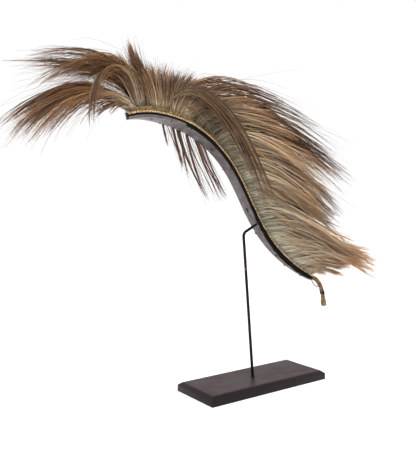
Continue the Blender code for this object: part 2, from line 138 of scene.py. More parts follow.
def on_spine(share, lift=0.0, side=0.0):
    """Points at shares of the spine, lifted off it and moved across it."""
    share = np.asarray(share, float)
    held = np.clip(share, 0.0, 1.0) * SPINE_STEPS
    x = np.interp(held, np.arange(SPINE_STEPS + 1), spine_line[:, 0])
    z = np.interp(held, np.arange(SPINE_STEPS + 1), spine_line[:, 1])
    turn = np.radians(tabled(SPINE_HEADINGS, share))
    points = (x - lift * np.sin(turn), BODY_Y + side + 0 * share, z + lift * np.cos(turn))
    return np.stack(np.broadcast_arrays(*points), axis=-1)


def bar_width(share):
    return BAR_WIDTH * tabled(BAR_WIDTHS, share)


print("front", on_spine(0.0).round(3), "tail", on_spine(1.0).round(3))

# %% [markdown]
# ## Helpers for materials
# Colours are given as sRGB hex values, and a shader wants linear light, so one function
# turns one into the other. A second one adds any node: a setting is a property or the value of a
# socket, and a link names a socket and its source. A third starts a Principled material, because
# every finish here begins from it.

# %% Colour and node helpers
def linear(code):
    """Linear colour of an sRGB hex value."""
    parts = [int(code[i : i + 2], 16) / 255 for i in (1, 3, 5)]
    return (*(p / 12.92 if p <= 0.04045 else ((p + 0.055) / 1.055) ** 2.4 for p in parts), 1.0)


def add(material, kind, links=None, out=None, **settings):
    """Adds a node and gives it, or the output that is asked for."""
    node = material.node_tree.nodes.new("ShaderNode" + kind)
    for key, value in settings.items():
        if hasattr(node, key):
            setattr(node, key, value)
        else:
            node.inputs[key.replace("_", " ")].default_value = value
    for key, source in (links or {}).items():
        material.node_tree.links.new(source, node.inputs[key])
    return node if out is None else node.outputs[out]


def finish_named(name, colour, roughness, **sockets):
    """A Principled material with its plain values, and its shader node."""
    material = bpy.data.materials.new(name)
    material.use_nodes = True
    shader = material.node_tree.nodes["Principled BSDF"]
    shader.inputs["Base Color"].default_value = linear(colour)
    shader.inputs["Roughness"].default_value = roughness
    for key, value in sockets.items():
        shader.inputs[key.replace("_", " ")].default_value = value
    return material, shader


def ramp(material, source, *stops):
    """A colour ramp through sRGB stops of position and hex value."""
    node = add(material, "ValToRGB", {"Fac": source})
    elements = node.color_ramp.elements
    while len(elements) < len(stops):
        elements.new(0.5)
    for element, (position, code) in zip(elements, stops):
        element.position = position
        element.color = linear(code)
    return node.outputs["Color"]


def join(material, source, socket):
    """Links a node's output to a socket of the material's shader."""
    shader = material.node_tree.nodes["Principled BSDF"]
    material.node_tree.links.new(source, shader.inputs[socket])


def bumped(material, height, strength, distance):
    """Puts a height pattern on the shader's normal."""
    lifted = {"Strength": strength, "Distance": distance}
    join(material, add(material, "Bump", {"Height": height}, "Normal", **lifted), "Normal")


def place(material):
    """The finished piece's own coordinates, in metres."""
    return add(material, "TexCoord", out="Object")


print("black is", linear("#000000"))

# %% [markdown]
# ## Paint on the block, the rod and the bar
# Museum stands are painted with satin acrylic. On the wooden block it is near black with a
# little brown, and its top is painted lighter and browner: a painted highlight for the bright
# sky that the top reflects. The rod has the same paint on steel, with one chip that shows rust.
# The bar's paint is grey: a painted reflection of the white floor on what is black paint, mottled
# by noise. Paint is a plain dielectric of IOR 1.5; its unevenness is a bump of about 2 mm.

# %% Paints
BLOCK_GRAIN = 420.0  # one spot every 2.4 mm
BLOCK_CLOUDS = 28.0  # every 36 mm
ROD_GRAIN = 900.0  # every 1.1 mm
BAR_CLOUDS = 60.0  # every 17 mm
BAR_SCRATCHES = 700.0  # every 1.4 mm
# From this height up, the block's top is painted lighter and browner as a painted highlight.
TOP_HIGHLIGHT_FROM, TOP_HIGHLIGHT_TO = 0.0148, 0.0157
CHIP_CENTRE = (-0.0207, -0.0015, 0.2060)
CHIP_REACH = 0.01
PAINT_IOR = 1.5

block_paint, _ = finish_named(
    "satin_paint_on_wood", "#1c1415", 0.42, IOR=PAINT_IOR, Specular_IOR_Level=0.14
)
at = {"Vector": place(block_paint)}
grain = add(block_paint, "TexNoise", at, "Fac", Scale=BLOCK_GRAIN, Detail=5.0)
cloud = add(block_paint, "TexNoise", at, "Fac", Scale=BLOCK_CLOUDS, Detail=3.0)
height = {"Value": add(block_paint, "SeparateXYZ", at, "Z")}
painted_top_highlight = add(block_paint, "MapRange", height, "Result", From_Min=TOP_HIGHLIGHT_FROM, From_Max=TOP_HIGHLIGHT_TO)
# The sides take the darker ramp and the top the lighter one, as a painted highlight.
side_and_top = {
    6: ramp(block_paint, cloud, (0.3, "#150e10"), (0.7, "#1c1416")),
    7: ramp(block_paint, cloud, (0.3, "#291a1c"), (0.7, "#352426")),
    0: painted_top_highlight,
}
join(block_paint, add(block_paint, "Mix", side_and_top, 2, data_type="RGBA"), "Base Color")
smear = add(
    block_paint, "MapRange", {"Value": cloud}, "Result",
    From_Min=0.3, From_Max=0.7, To_Min=0.34, To_Max=0.5,
)
join(block_paint, smear, "Roughness")
bumped(block_paint, grain, 0.12, 0.0006)
print("paint", block_paint.name)

# %% Paint on the metal
rod_paint, _ = finish_named(
    "satin_paint_on_steel", "#070505", 0.45, IOR=PAINT_IOR, Specular_IOR_Level=0.14
)
at = {"Vector": place(rod_paint)}
from_chip = add(rod_paint, "VectorMath", at, operation="DISTANCE")
from_chip.inputs[1].default_value = CHIP_CENTRE
away = {"Value": from_chip.outputs["Value"]}
near_chip = add(rod_paint, "MapRange", away, "Result", From_Max=CHIP_REACH)
rust = ramp(rod_paint, near_chip, (0.12, "#7a4430"), (0.19, "#4c261b"), (0.24, "#070505"))
join(rod_paint, rust, "Base Color")
grain = add(rod_paint, "TexNoise", at, "Fac", Scale=ROD_GRAIN, Detail=3.0)
bumped(rod_paint, grain, 0.1, 0.0004)

# The bar's grey is a painted reflection of the white floor on black paint, mottled by noise.
bar_paint, _ = finish_named(
    "grey_painted_reflection", "#4d4546", 0.45, IOR=PAINT_IOR, Specular_IOR_Level=0.4
)
at = {"Vector": place(bar_paint)}
cloud = add(bar_paint, "TexNoise", at, "Fac", Scale=BAR_CLOUDS, Detail=6.0)
painted_floor_reflection = ramp(bar_paint, cloud, (0.28, "#3b3434"), (0.5, "#4e4647"), (0.72, "#655b5c"))
join(bar_paint, painted_floor_reflection, "Base Color")
scratch = add(bar_paint, "TexNoise", at, "Fac", Scale=BAR_SCRATCHES, Detail=4.0)
bumped(bar_paint, scratch, 0.15, 0.0005)
print("paints", rod_paint.name, bar_paint.name)

# %% [markdown]
# ## Felt, yarn and fibre
# The felt strip is black wool: no shine, a faint grey sheen of loose fibres. The edging is cream
# wool yarn gone tan with age, sewn down with golden-brown thread. The plaited base and the tail
# cord are plant fibre, drier and yellower. All are rough, so their look is in the twist of the
# geometry and in colour that changes every few millimetres.

# %% Fibre materials
def fibre(name, dark, middle, light, spacing_mm, sheen):
    """A matt fibre whose colour changes over a real distance."""
    material, _ = finish_named(
        name, middle, 0.9, Sheen_Weight=sheen, Sheen_Roughness=0.4, Specular_IOR_Level=0.1
    )
    at = {"Vector": place(material)}
    spots = add(material, "TexNoise", at, "Fac", Scale=1000.0 / spacing_mm, Detail=4.0)
    join(material, ramp(material, spots, (0.3, dark), (0.5, middle), (0.7, light)), "Base Color")
    bumped(material, spots, 0.4, 0.0008)
    return material


wool_felt = fibre("black_wool_felt", "#040303", "#070505", "#100c0c", 3.0, 0.0)
cream_yarn = fibre("aged_wool_yarn", "#84694a", "#c2a57e", "#e2cda9", 3.5, 0.15)
gold_thread = fibre("golden_brown_thread", "#2c1f14", "#745a3a", "#ab8f68", 2.5, 0.1)
plant_fibre = fibre("plaited_plant_fibre", "#332618", "#856f4e", "#c0a780", 3.0, 0.1)
tail_fibre = fibre("tan_bark_fibre", "#20150d", "#765d40", "#b59c76", 3.0, 0.1)
dark_thread = fibre("waxed_dark_thread", "#0d0b0a", "#1b1716", "#332d2a", 3.0, 0.05)

# %% [markdown]
# ## Strands from arrays
# Hair, stitches and twisted yarn are many thin strands. Blender could grow them as curves or
# with Geometry Nodes, but a finished mesh is wanted here, so each strand is a closed tube of a
# few sides around its path, and all strands of a piece are joined. With arrays this takes a
# second for thousands. Each point keeps how far along its strand it lies and its strand's tone,
# and the materials read these two.

# %% Strand meshes
rng = np.random.default_rng(11)
TINY = 1e-12
GUIDE = np.array((0.0, 1.0, 0.02))  # hardly any strand runs straight along this


def unit(ways):
    """The same vectors, each of length one."""
    return ways / (np.linalg.norm(ways, axis=-1, keepdims=True) + TINY)


def dressed(name, mesh, material, stands_for=None):
    """An object that rides on the part with its finish, in place of a solid where it names one."""
    mesh.materials.append(material)
    made = in_scene(name, mesh)
    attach(made, "root")
    if stands_for:
        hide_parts(stands_for)
    return made


def strand_piece(name, paths, radii, sides, material, slot, stands_for=None, tones=None):
    """Joins closed tubes along paths of shape (strands, points, 3) into one object."""
    count, points = paths.shape[:2]
    tones = rng.uniform(0, 1, count) if tones is None else np.asarray(tones)
    radii = np.broadcast_to(radii, (count, points))
    tangent = unit(np.gradient(paths, axis=1))
    first = unit(np.cross(tangent, GUIDE))
    second = np.cross(tangent, first)
    angles = 2 * np.pi * np.arange(sides) / sides
    spokes = (
        first[:, :, None, :] * np.cos(angles)[None, None, :, None]
        + second[:, :, None, :] * np.sin(angles)[None, None, :, None]
    )
    rings = paths[:, :, None, :] + spokes * radii[:, :, None, None]
    corners = rings.reshape(-1, 3)

    strand = np.arange(count)[:, None, None] * points * sides
    level = np.arange(points - 1)[None, :, None] * sides
    side = np.arange(sides)[None, None, :]
    after = (side + 1) % sides
    low, low_next = strand + level + side, strand + level + after
    quads = np.stack((low, low_next, low_next + sides, low + sides), axis=-1).reshape(-1, 4)
    start = (np.arange(count) * points * sides)[:, None]
    around = np.arange(sides)
    ends = np.vstack((start + around[::-1], start + (points - 1) * sides + around))

    mesh = bpy.data.meshes.new(name)
    mesh.vertices.add(len(corners))
    mesh.vertices.foreach_set("co", corners.ravel())
    mesh.loops.add(quads.size + ends.size)
    mesh.loops.foreach_set("vertex_index", np.concatenate((quads.ravel(), ends.ravel())))
    mesh.polygons.add(len(quads) + len(ends))
    starts = np.concatenate((4 * np.arange(len(quads)), quads.size + sides * np.arange(len(ends))))
    mesh.polygons.foreach_set("loop_start", starts)
    mesh.update(calc_edges=True)
    mesh.polygons.foreach_set("use_smooth", np.ones(len(mesh.polygons), bool))
    along = np.broadcast_to(np.linspace(0, 1, points)[None, :, None], (count, points, sides))
    tone = np.broadcast_to(tones[:, None, None], (count, points, sides))
    for key, values in (("along", along), ("tone", tone)):
        mesh.attributes.new(key, "FLOAT", "POINT").data.foreach_set("value", values.ravel())
    print(name, count, "strands,", 2 * len(quads) + (sides - 2) * len(ends), "triangles")
    return dressed(name, mesh, material, stands_for)


# %% [markdown]
# ## The stand's solid pieces
# The block and the bar are right as solids, but their edges are as sharp as a knife. On real
# wood and metal every edge is a little round and catches light. A copy of the solid has its loose
# triangles merged into flat faces, and its sharp edges bevelled.

# %% Block and bar with eased edges
SAME_PLACE = 1e-6
FLAT_ANGLE = math.radians(1.0)
EDGE_ANGLE = math.radians(25)
CREASE_ANGLE = 38


def open_edges(shape):
    return sum(not edge.is_manifold for edge in shape.edges)


def eased_copy(node, name, material, ease, segments, smooth_all=True, least_edge=0.0):
    """A copy of a solid with its flat faces joined and its sharp, longer edges bevelled."""
    shape = bmesh.new()
    shape.from_mesh(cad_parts[node].data)
    bmesh.ops.remove_doubles(shape, verts=shape.verts, dist=SAME_PLACE)
    bmesh.ops.dissolve_limit(shape, angle_limit=FLAT_ANGLE, verts=shape.verts, edges=shape.edges)
    sharp = [
        e for e in shape.edges
        if e.is_manifold and e.calc_face_angle() > EDGE_ANGLE and e.calc_length() > least_edge
    ]
    eased = bmesh.ops.bevel(
        shape, geom=sharp, offset=ease, segments=segments, profile=0.5, affect="EDGES",
        material=-1, clamp_overlap=True,
    )
    for face in shape.faces:
        face.smooth = smooth_all
    for face in eased["faces"]:
        face.smooth = True
    mesh = bpy.data.meshes.new(name)
    shape.to_mesh(mesh)
    print(name, len(shape.faces), "faces,", open_edges(shape), "open edges")
    shape.free()
    mesh.set_sharp_from_angle(angle=math.radians(CREASE_ANGLE))
    return dressed(name, mesh, material, node)


eased_copy(
    "base_block", "painted_block", block_paint, 0.0007, 3, smooth_all=False,
    least_edge=0.003,
)
bar = eased_copy("mount_bar", "curved_bar", bar_paint, 0.0005, 2)

# %% [markdown]
# The grey paint is a painted reflection, and it is left off the slots' walls and off the bar's
# sides from BLACK_SIDE_FROM on, which get the rod's black paint; in the slots the black is painted
# shade. The bar has one mesh, so the two paints are two material places on it, and each face is
# asked where it lies.

# %% Black slots and sides
BLACK_SIDE_FROM = -0.150
SLOT_DEPTH = 0.0048
SLOT_NEARNESS = 0.0016
SIDE_FACING = 0.45

bar.data.materials.append(rod_paint)
for face in bar.data.polygons:
    away = spine_line - np.array((face.center.x, face.center.z))
    depth = float(np.linalg.norm(away, axis=1).min())
    across = abs(face.center.y - BODY_Y)
    # Black slot walls are painted shade in the slots.
    in_slot = across < SLOT_NEARNESS and abs(depth - SLOT_DEPTH) < SLOT_NEARNESS
    on_side = abs(face.normal.y) > SIDE_FACING and face.center.x > BLACK_SIDE_FROM
    face.material_index = int(in_slot or on_side)
print("black faces", sum(face.material_index for face in bar.data.polygons))

# %% [markdown]
# ## The rod
# The rod is a round steel wire, bent once over a small former. So it is made as it was bent: a
# circle is drawn up the upright, spun through the bend, and drawn on along the arm, where it is
# filed a little thinner before it meets the bar.

# %% Bent rod
ROD_RADIUS = 0.0025
ROD_FOOT = Vector((-0.0025, 0.0, 0.0158))
ROD_BEND_RADIUS = 0.009
ROD_ARM_LENGTH = 0.033
ROD_ARM_SAG = math.radians(8)
SOCKET_REACH = 0.0097
ROD_SIDES = 28
UPRIGHT_STEPS = 12
ARM_STEPS = ((0.6, 1.0), (0.25, 0.86), (0.15, 0.74))  # share of the arm, then how thin it gets
seat_turn = math.radians(float(tabled(SPINE_HEADINGS, SEAT_SHARE)))
under_bar = FELT_THICKNESS + GAP + BAR_THICKNESS + GAP + ROD_RADIUS * math.tan(ROD_ARM_SAG)
rod_end = Vector(on_spine(SEAT_SHARE, -under_bar, -BODY_Y))
arm_rise = seat_turn + math.pi / 2 - ROD_ARM_SAG
arm_way = Vector((math.cos(arm_rise), 0.0, math.sin(arm_rise)))
rod_corner = rod_end - ROD_ARM_LENGTH * arm_way
up_way = (rod_corner - ROD_FOOT).normalized()
bend = up_way.angle(arm_way)
bend_run = ROD_BEND_RADIUS * math.tan(bend / 2)
inward = (arm_way - up_way * up_way.dot(arm_way)).normalized()
print("bend", round(math.degrees(bend), 1), "degrees")


# %% Helpers for drawn shapes
def of_kind(kind, items):
    """The points or the edges in what an operator gives back."""
    return [item for item in items if isinstance(item, kind)]


def drawn_on(shape, edges, way):
    """Draws a ring of edges on along a vector and gives the new ring."""
    drawn = bmesh.ops.extrude_edge_only(shape, edges=edges)["geom"]
    points = of_kind(bmesh.types.BMVert, drawn)
    bmesh.ops.translate(shape, vec=way, verts=points)
    return [e for e in of_kind(bmesh.types.BMEdge, drawn) if all(v in points for v in e.verts)]


def piece_from(shape, name, material, crease=CREASE_ANGLE, stands_for=None):
    """Turns a finished bmesh into an object that rides on the part."""
    mesh = bpy.data.meshes.new(name)
    shape.to_mesh(mesh)
    shape.free()
    mesh.shade_smooth()
    mesh.set_sharp_from_angle(angle=math.radians(crease))
    return dressed(name, mesh, material, stands_for)


# %% Draw the rod
shape = bmesh.new()
foot = ROD_FOOT - SOCKET_REACH * up_way
lean = Vector((0, 0, 1)).rotation_difference(up_way).to_matrix().to_4x4()
stand_up = Matrix.Translation(foot) @ lean
bmesh.ops.create_circle(shape, segments=ROD_SIDES, radius=ROD_RADIUS, matrix=stand_up)
bottom = list(shape.edges)
upright = (rod_corner - foot).length - bend_run
edges = bottom
for part in range(UPRIGHT_STEPS):
    edges = drawn_on(shape, edges, up_way * upright / UPRIGHT_STEPS)
centre = rod_corner - bend_run * up_way + ROD_BEND_RADIUS * inward
axis = up_way.cross(arm_way).normalized()
spun = bmesh.ops.spin(
    shape, geom=edges, cent=centre, axis=axis, dvec=(0, 0, 0), angle=bend, steps=10,
    use_duplicate=False,
)["geom_last"]
edges = of_kind(bmesh.types.BMEdge, spun)
arm_run = ROD_ARM_LENGTH - bend_run
for share, wide in ARM_STEPS:
    edges = drawn_on(shape, edges, arm_way * arm_run * share)
    points = list({v for e in edges for v in e.verts})
    middle = sum((v.co for v in points), Vector()) / len(points)
    for point in points:
        point.co = middle + (point.co - middle) * wide
bmesh.ops.contextual_create(shape, geom=edges)
bmesh.ops.contextual_create(shape, geom=bottom)
bmesh.ops.recalc_face_normals(shape, faces=shape.faces)
rod = piece_from(shape, "bent_rod", rod_paint, stands_for="support_rod")
print("rod", len(rod.data.polygons), "faces")

# %% Ring of paint at the rod's foot
FOOT_PAINT = {"radius1": 0.0046, "radius2": 0.0029, "depth": 0.0010}

shape = bmesh.new()
on_foot = Matrix.Translation(ROD_FOOT + Vector((0, 0, FOOT_PAINT["depth"] / 2)))
bmesh.ops.create_cone(shape, cap_ends=True, segments=ROD_SIDES, matrix=on_foot, **FOOT_PAINT)
foot_paint = piece_from(shape, "paint_at_the_foot", rod_paint)
print("paint at the foot", len(foot_paint.data.polygons), "faces")

# %% [markdown]
# ## Felt strip
# Felt has no weave: it is a mat of short fibres. A copy of the solid strip gives the body, with
# its edges eased more than metal, and a fringe of very short fibres along both cut edges breaks
# the outline. The fibres are drawn three times as thick as real ones, or the picture loses them.

# %% Felt
FELT_FIBRES = 1700
FELT_FIBRE_LIFTS = (-0.0024, -0.0002)

eased_copy("felt_strip", "felt_body", wool_felt, 0.0008, 2)


def short_fibres(name, roots, ways, length_mm, radius_mm, material, slot, wildness):
    """Short fibres that stand off a surface at given points and directions."""
    count = len(roots)
    ways = unit(ways + rng.normal(0, wildness, (count, 3)))
    curl = rng.normal(0, wildness, (count, 3))
    length = length_mm / 1000 * rng.uniform(0.4, 1.2, (count, 1, 1))
    s = np.linspace(0, 1, 4)[None, :, None]
    paths = roots[:, None, :] + length * (s * ways[:, None, :] + 0.5 * s**2 * curl[:, None, :])
    radii = radius_mm / 1000 * np.broadcast_to(1 - 0.6 * s[..., 0], (count, 4))
    return strand_piece(name, paths, radii, 3, material, slot)


share = rng.uniform(0.004, 0.996, FELT_FIBRES)
flank = np.where(rng.uniform(size=FELT_FIBRES) < 0.5, -1.0, 1.0)
lift = rng.uniform(*FELT_FIBRE_LIFTS, FELT_FIBRES)
roots = on_spine(share, lift, flank * (bar_width(share) / 2 - 0.0002))
ways = np.stack((0 * share, flank, 0 * share), axis=-1)
short_fibres("felt_fuzz", roots, ways, 1.3, 0.09, wool_felt, "felt", 0.6)

# %% [markdown]
# ## The felt's lower edge
# Towards the tail the felt is cut wider than the bar and its near edge folds down over the bar's
# side, pinched where a thread is tied. A row of edges along the bar is drawn down by the fold's
# depth at each place, and the strip gets its thickness from solidify.

# %% Folded felt edge
THREAD_SHARES = (0.135, 0.213, 0.336, 0.427, 0.689, 0.866, 0.956)
FOLD_DEPTHS = (
    (0.585, 0.0), (0.650, 0.0010), (0.720, 0.0022), (0.800, 0.0028), (0.900, 0.0026),
    (0.960, 0.0014), (0.985, 0.0),
)
FOLD_THICKNESS = 0.0011
PINCH, PINCH_RUN = 0.75, 0.005
UNDERSIDE = -(FELT_THICKNESS + GAP + BAR_THICKNESS)

share = np.linspace(FOLD_DEPTHS[0][0], FOLD_DEPTHS[-1][0], 90)
pinches = [1 - PINCH * np.exp(-(((share - tied) / PINCH_RUN) ** 2)) for tied in THREAD_SHARES]
pinch = np.min(pinches, axis=0)
depth = tabled(FOLD_DEPTHS, share) * pinch * (1 + 0.12 * np.sin(190 * share))
outside = -(bar_width(share) / 2 + 0.0004 + 0.0006 * np.sin(70 * share) ** 2)
upper = on_spine(share, -0.0006, outside)
lower = on_spine(share, UNDERSIDE - depth, outside)
shape = bmesh.new()
top_points = [shape.verts.new(point) for point in upper]
top_edges = [shape.edges.new(pair) for pair in zip(top_points, top_points[1:])]
drawn = bmesh.ops.extrude_edge_only(shape, edges=top_edges)["geom"]
low_points = sorted(of_kind(bmesh.types.BMVert, drawn), key=lambda v: -v.co.z + 2 * v.co.x)
for point, low_place in zip(low_points, lower):
    point.co = low_place
of_faces = [e for e in shape.edges if e.link_faces]
bmesh.ops.subdivide_edges(shape, edges=of_faces, cuts=1, use_grid_fill=True)
bmesh.ops.recalc_face_normals(shape, faces=shape.faces)
bmesh.ops.solidify(shape, geom=shape.faces[:], thickness=-FOLD_THICKNESS)
bmesh.ops.recalc_face_normals(shape, faces=shape.faces)
print("fold", len(shape.faces), "faces,", open_edges(shape), "open edges")
piece_from(shape, "felt_fold", wool_felt, 60)

# %% [markdown]
# ## Plaited base
# The hairs are tied into a narrow plait that is thick at the forehead and thin towards the neck.
# Seen from the side it is a wall of small knots. A low core fills the middle, and rows of
# two-ply cord run along both walls, each ply a helix, because the eye knows cord by its slanting
# twist.

# %% Twisted cords on the base
WEAVE_THICKNESS = 0.0095
WEAVE_HEIGHTS = ((0.0, 0.75), (0.06, 1.0), (0.14, 0.95), (0.24, 0.62), (0.36, 0.48), (1.0, 0.45))
EDGING_RADIUS = 0.0016
EDGING_GAP = 0.0006
END_MARGIN = 0.0105


def weave_width(share):
    return bar_width(share) - 2 * (2 * EDGING_RADIUS + EDGING_GAP)


def weave_height(share):
    return WEAVE_THICKNESS * tabled(WEAVE_HEIGHTS, share)


PLIES = 2


def twisted(route, ply_radius, pitch, wobble):
    """Helical plies around a route of points, as paths of one shape."""
    steps = np.gradient(route, axis=0)
    length = np.cumsum(np.linalg.norm(steps, axis=1))
    tangent = unit(steps)
    first = unit(np.cross(tangent, (0.0, 1.0, 0.0)))
    second = np.cross(tangent, first)
    made = []
    for ply in range(PLIES):
        angle = 2 * np.pi * (length / pitch + ply / PLIES)
        off = np.cos(angle)[:, None] * first + np.sin(angle)[:, None] * second
        made.append(route + ply_radius * off + rng.normal(0, 1, route.shape) * wobble)
    return np.array(made)


CORD_ROWS = (0.22, 0.5, 0.8)
LOWEST_CORD = 0.0012
CORD_PITCH = 0.0042

eased_copy("woven_base", "plait_core", plant_fibre, 0.0008, 1)
margin = END_MARGIN / SPINE_LENGTH
share = np.linspace(margin + 0.002, 1 - margin - 0.002, 520)
cords = []
for side in (-1, 1):
    for row in CORD_ROWS:
        lift = np.maximum(GAP + row * weave_height(share), LOWEST_CORD)
        route = on_spine(share, lift, side * (weave_width(share) / 2 - 0.0002))
        cords.append(twisted(route, 0.00055, CORD_PITCH, 0.00006))
cords = np.concatenate(cords)
strand_piece("plait_cords", cords, 0.00062, 5, plant_fibre, "woven_fibre")

# %% [markdown]
# ## Yarn edging
# A cream yarn is laid round the base on the felt and sewn down with golden-brown thread. The
# yarn is two fat plies; the stitches are short loops over it every 4.6 mm, wide enough to read
# as the row of beads that the photograph shows. Loose wool fibres blur the whole border, most of
# all round the front, where the yarn is oldest.

# %% Edging yarn and stitches
def edging_route(lift, inset, count):
    """A route round the base on the felt, starting and ending at the front."""
    inset_share = EDGING_RADIUS / SPINE_LENGTH
    run = (1 - np.cos(np.linspace(0, np.pi, count))) / 2
    share = inset_share + (1 - 2 * inset_share) * run
    near = on_spine(share, lift, -(bar_width(share) / 2 - inset))
    far = on_spine(share, lift, bar_width(share) / 2 - inset)
    return np.vstack((near, far[::-1]))


YARN_PITCH = 0.0068
yarn_route = edging_route(GAP + EDGING_RADIUS, EDGING_RADIUS, 420)
yarn = twisted(yarn_route, 0.00075, YARN_PITCH, 0.00005)
strand_piece(
    "yarn_edging", yarn, 0.00105, 7, cream_yarn, "tan_cord", "edging_cord", tones=(0.3, 0.7)
)

STITCH_SPACING = 0.0046
STITCH_LEAN = 0.0011
STITCH_RISE = 0.00035
STITCH_ARC = np.radians(np.linspace(-35, 215, 7))
bulge = EDGING_RADIUS + STITCH_RISE
lean = STITCH_LEAN * np.linspace(-1, 1, len(STITCH_ARC))
lift = GAP + EDGING_RADIUS + bulge * np.sin(STITCH_ARC) * 0.95
stitches = []
for side in (-1, 1):
    for share in np.arange(0.012, 0.992, STITCH_SPACING / SPINE_LENGTH):
        reach = float(bar_width(share)) / 2 - EDGING_RADIUS
        out = side * (reach + bulge * np.cos(STITCH_ARC))
        stitches.append(on_spine(share + lean / SPINE_LENGTH, lift, out))
strand_piece("edging_stitches", np.array(stitches), 0.00062, 5, gold_thread, "tan_cord")

# %% Loose fibres on the border
BORDER_FIBRES = 3800
FRONT_PART, FRONT_END = 0.45, 0.2
NEAR_PART = 0.6

at_front = rng.uniform(size=BORDER_FIBRES) < FRONT_PART
share = np.where(
    at_front, rng.uniform(0.0, FRONT_END, BORDER_FIBRES), rng.uniform(0.0, 1.0, BORDER_FIBRES)
)
flank = np.where(rng.uniform(size=BORDER_FIBRES) < NEAR_PART, -1.0, 1.0)
turn = rng.uniform(0, np.pi, BORDER_FIBRES)
on_wall = rng.uniform(0, 1, BORDER_FIBRES) * 0.6 * weave_height(share)
lift = GAP + EDGING_RADIUS + EDGING_RADIUS * np.sin(turn) + on_wall
out = bar_width(share) / 2 - EDGING_RADIUS + EDGING_RADIUS * np.cos(turn) * 0.9
roots = on_spine(share, lift, flank * out)
ways = np.stack((0 * share, flank * np.cos(turn), np.sin(turn) + 0.2), axis=-1)
short_fibres("yarn_fuzz", roots, ways, 3.2, 0.14, plant_fibre, "tan_cord", 0.7)

# %% [markdown]
# ## Tail cord
# At the neck end hangs the cord that once tied the headdress on. It leaves the base at the end
# of the bar, bends down under its own weight and ends in a squared wrapped knob. It is plaited
# from three strands, so each one swings from side to side and passes over its neighbours.

# %% Plaited tail cord
TAIL_CORD_ROUTE = (
    (0.0000, 0.0000), (0.0080, -0.0036), (0.0160, -0.0088), (0.0230, -0.0165), (0.0285, -0.0265),
    (0.0320, -0.0375), (0.0335, -0.0465),
)
end_turn = math.radians(float(tabled(SPINE_HEADINGS, 1.0)))
end_way = np.array((math.cos(end_turn), 0.0, math.sin(end_turn)))
cord_start = on_spine(1.0, 0.0005) + GAP * end_way
knots = [cord_start + np.array((x, 0.0, z)) for x, z in TAIL_CORD_ROUTE]


def smooth_route(knots, parts):
    """Points on a smooth curve through knots."""
    padded = [2 * knots[0] - knots[1], *knots, 2 * knots[-1] - knots[-2]]
    points = []
    for a, b, c, d in zip(padded, padded[1:], padded[2:], padded[3:]):
        for t in np.arange(parts) / parts:
            cubic = 2 * a - 5 * b + 4 * c - d, 3 * b - 3 * c + d - a
            points.append(0.5 * (2 * b + (c - a) * t + cubic[0] * t**2 + cubic[1] * t**3))
    return np.array([*points, knots[-1]])


PLAIT_PITCH = 0.015
PLAIT_SWING, PLAIT_DEPTH = 0.0020, 0.0011
STRAND_RADIUS = 0.00225

fine = smooth_route(knots, 24)
length = np.concatenate(((0.0,), np.cumsum(np.linalg.norm(np.diff(fine, axis=0), axis=1))))
tangent = unit(np.gradient(fine, axis=0))
across = np.array((0.0, 1.0, 0.0))
flat_way = np.cross(tangent, across)
plait = []
for strand in range(3):
    swing = 2 * np.pi * (length / PLAIT_PITCH + strand / 3)
    sideways = PLAIT_SWING * np.sin(swing)[:, None] * flat_way
    off = sideways + PLAIT_DEPTH * np.sin(2 * swing)[:, None] * across
    plait.append(fine + off + rng.normal(0, 0.00022, off.shape))
plait = np.array(plait)
cord_radii = STRAND_RADIUS * rng.uniform(0.70, 1.12, plait.shape[:2])
print("cord length", round(float(length[-1]) * 1000, 1), "mm")

# %% Dark turns and loose fibres of the cord
CORD_FIBRES = 620
BAND_SHARE, BAND_SPACING, BAND_RADIUS = 0.74, 5, 0.0042

mouth = int(BAND_SHARE * len(fine))
turn = np.linspace(0, 2 * np.pi, 17)[None, :, None]
bands = fine[mouth + BAND_SPACING * np.array((-1, 0, 1))][:, None, :]
bands = bands + BAND_RADIUS * (np.cos(turn) * flat_way[mouth] + np.sin(turn) * across)
bands = bands + 0.0008 * turn / np.pi * tangent[mouth]
cord_band = strand_piece("dark_turns_on_cord", bands, 0.0007, 5, dark_thread, "tan_cord")
tail_cord = strand_piece(
    "plaited_tail_cord", plait, cord_radii, 9, tail_fibre, "tan_cord", tones=(0.2, 0.5, 0.8)
)

at = rng.integers(4, len(fine) - 4, CORD_FIBRES)
spin = rng.uniform(0, 2 * np.pi, CORD_FIBRES)
round_way = np.cos(spin)[:, None] * flat_way[at] + np.sin(spin)[:, None] * across
roots = fine[at] + 0.0032 * round_way
cord_fuzz = short_fibres(
    "cord_fuzz", roots, round_way, 3.0, 0.16, tail_fibre, "tan_cord", 0.8
)

# %% [markdown]
# ## Knob at the cord's end
# The three strands are held in a squared wrapping of the same fibre. A cube is bevelled into a
# soft block, and turns of twine are laid round it.

# %% Wrapped knob
TAIL_WRAP_LENGTH = 0.0125
TAIL_WRAP_WIDTH = 0.0082
KNOB_WIDTH = TAIL_WRAP_WIDTH * 0.86
down = Vector(fine[-1] - fine[-2]).normalized()
side_way = Vector((0, 1, 0)).cross(down).normalized()
middle = Vector(fine[-1]) + (GAP + TAIL_WRAP_LENGTH / 2) * down
turned = Matrix((side_way, Vector((0, 1, 0)), down)).transposed().to_4x4()
shape = bmesh.new()
bmesh.ops.create_cube(shape, size=1.0)
bmesh.ops.scale(shape, vec=(KNOB_WIDTH, KNOB_WIDTH, TAIL_WRAP_LENGTH), verts=shape.verts)
bmesh.ops.bevel(
    shape, geom=list(shape.edges), offset=0.0016, segments=3, profile=0.5, affect="EDGES",
    material=-1,
)
bmesh.ops.transform(shape, matrix=Matrix.Translation(middle) @ turned, verts=shape.verts)
bmesh.ops.recalc_face_normals(shape, faces=shape.faces)
knob = piece_from(shape, "cord_knob", tail_fibre, 50, "tail_wrap")
print("knob", len(knob.data.polygons), "faces")

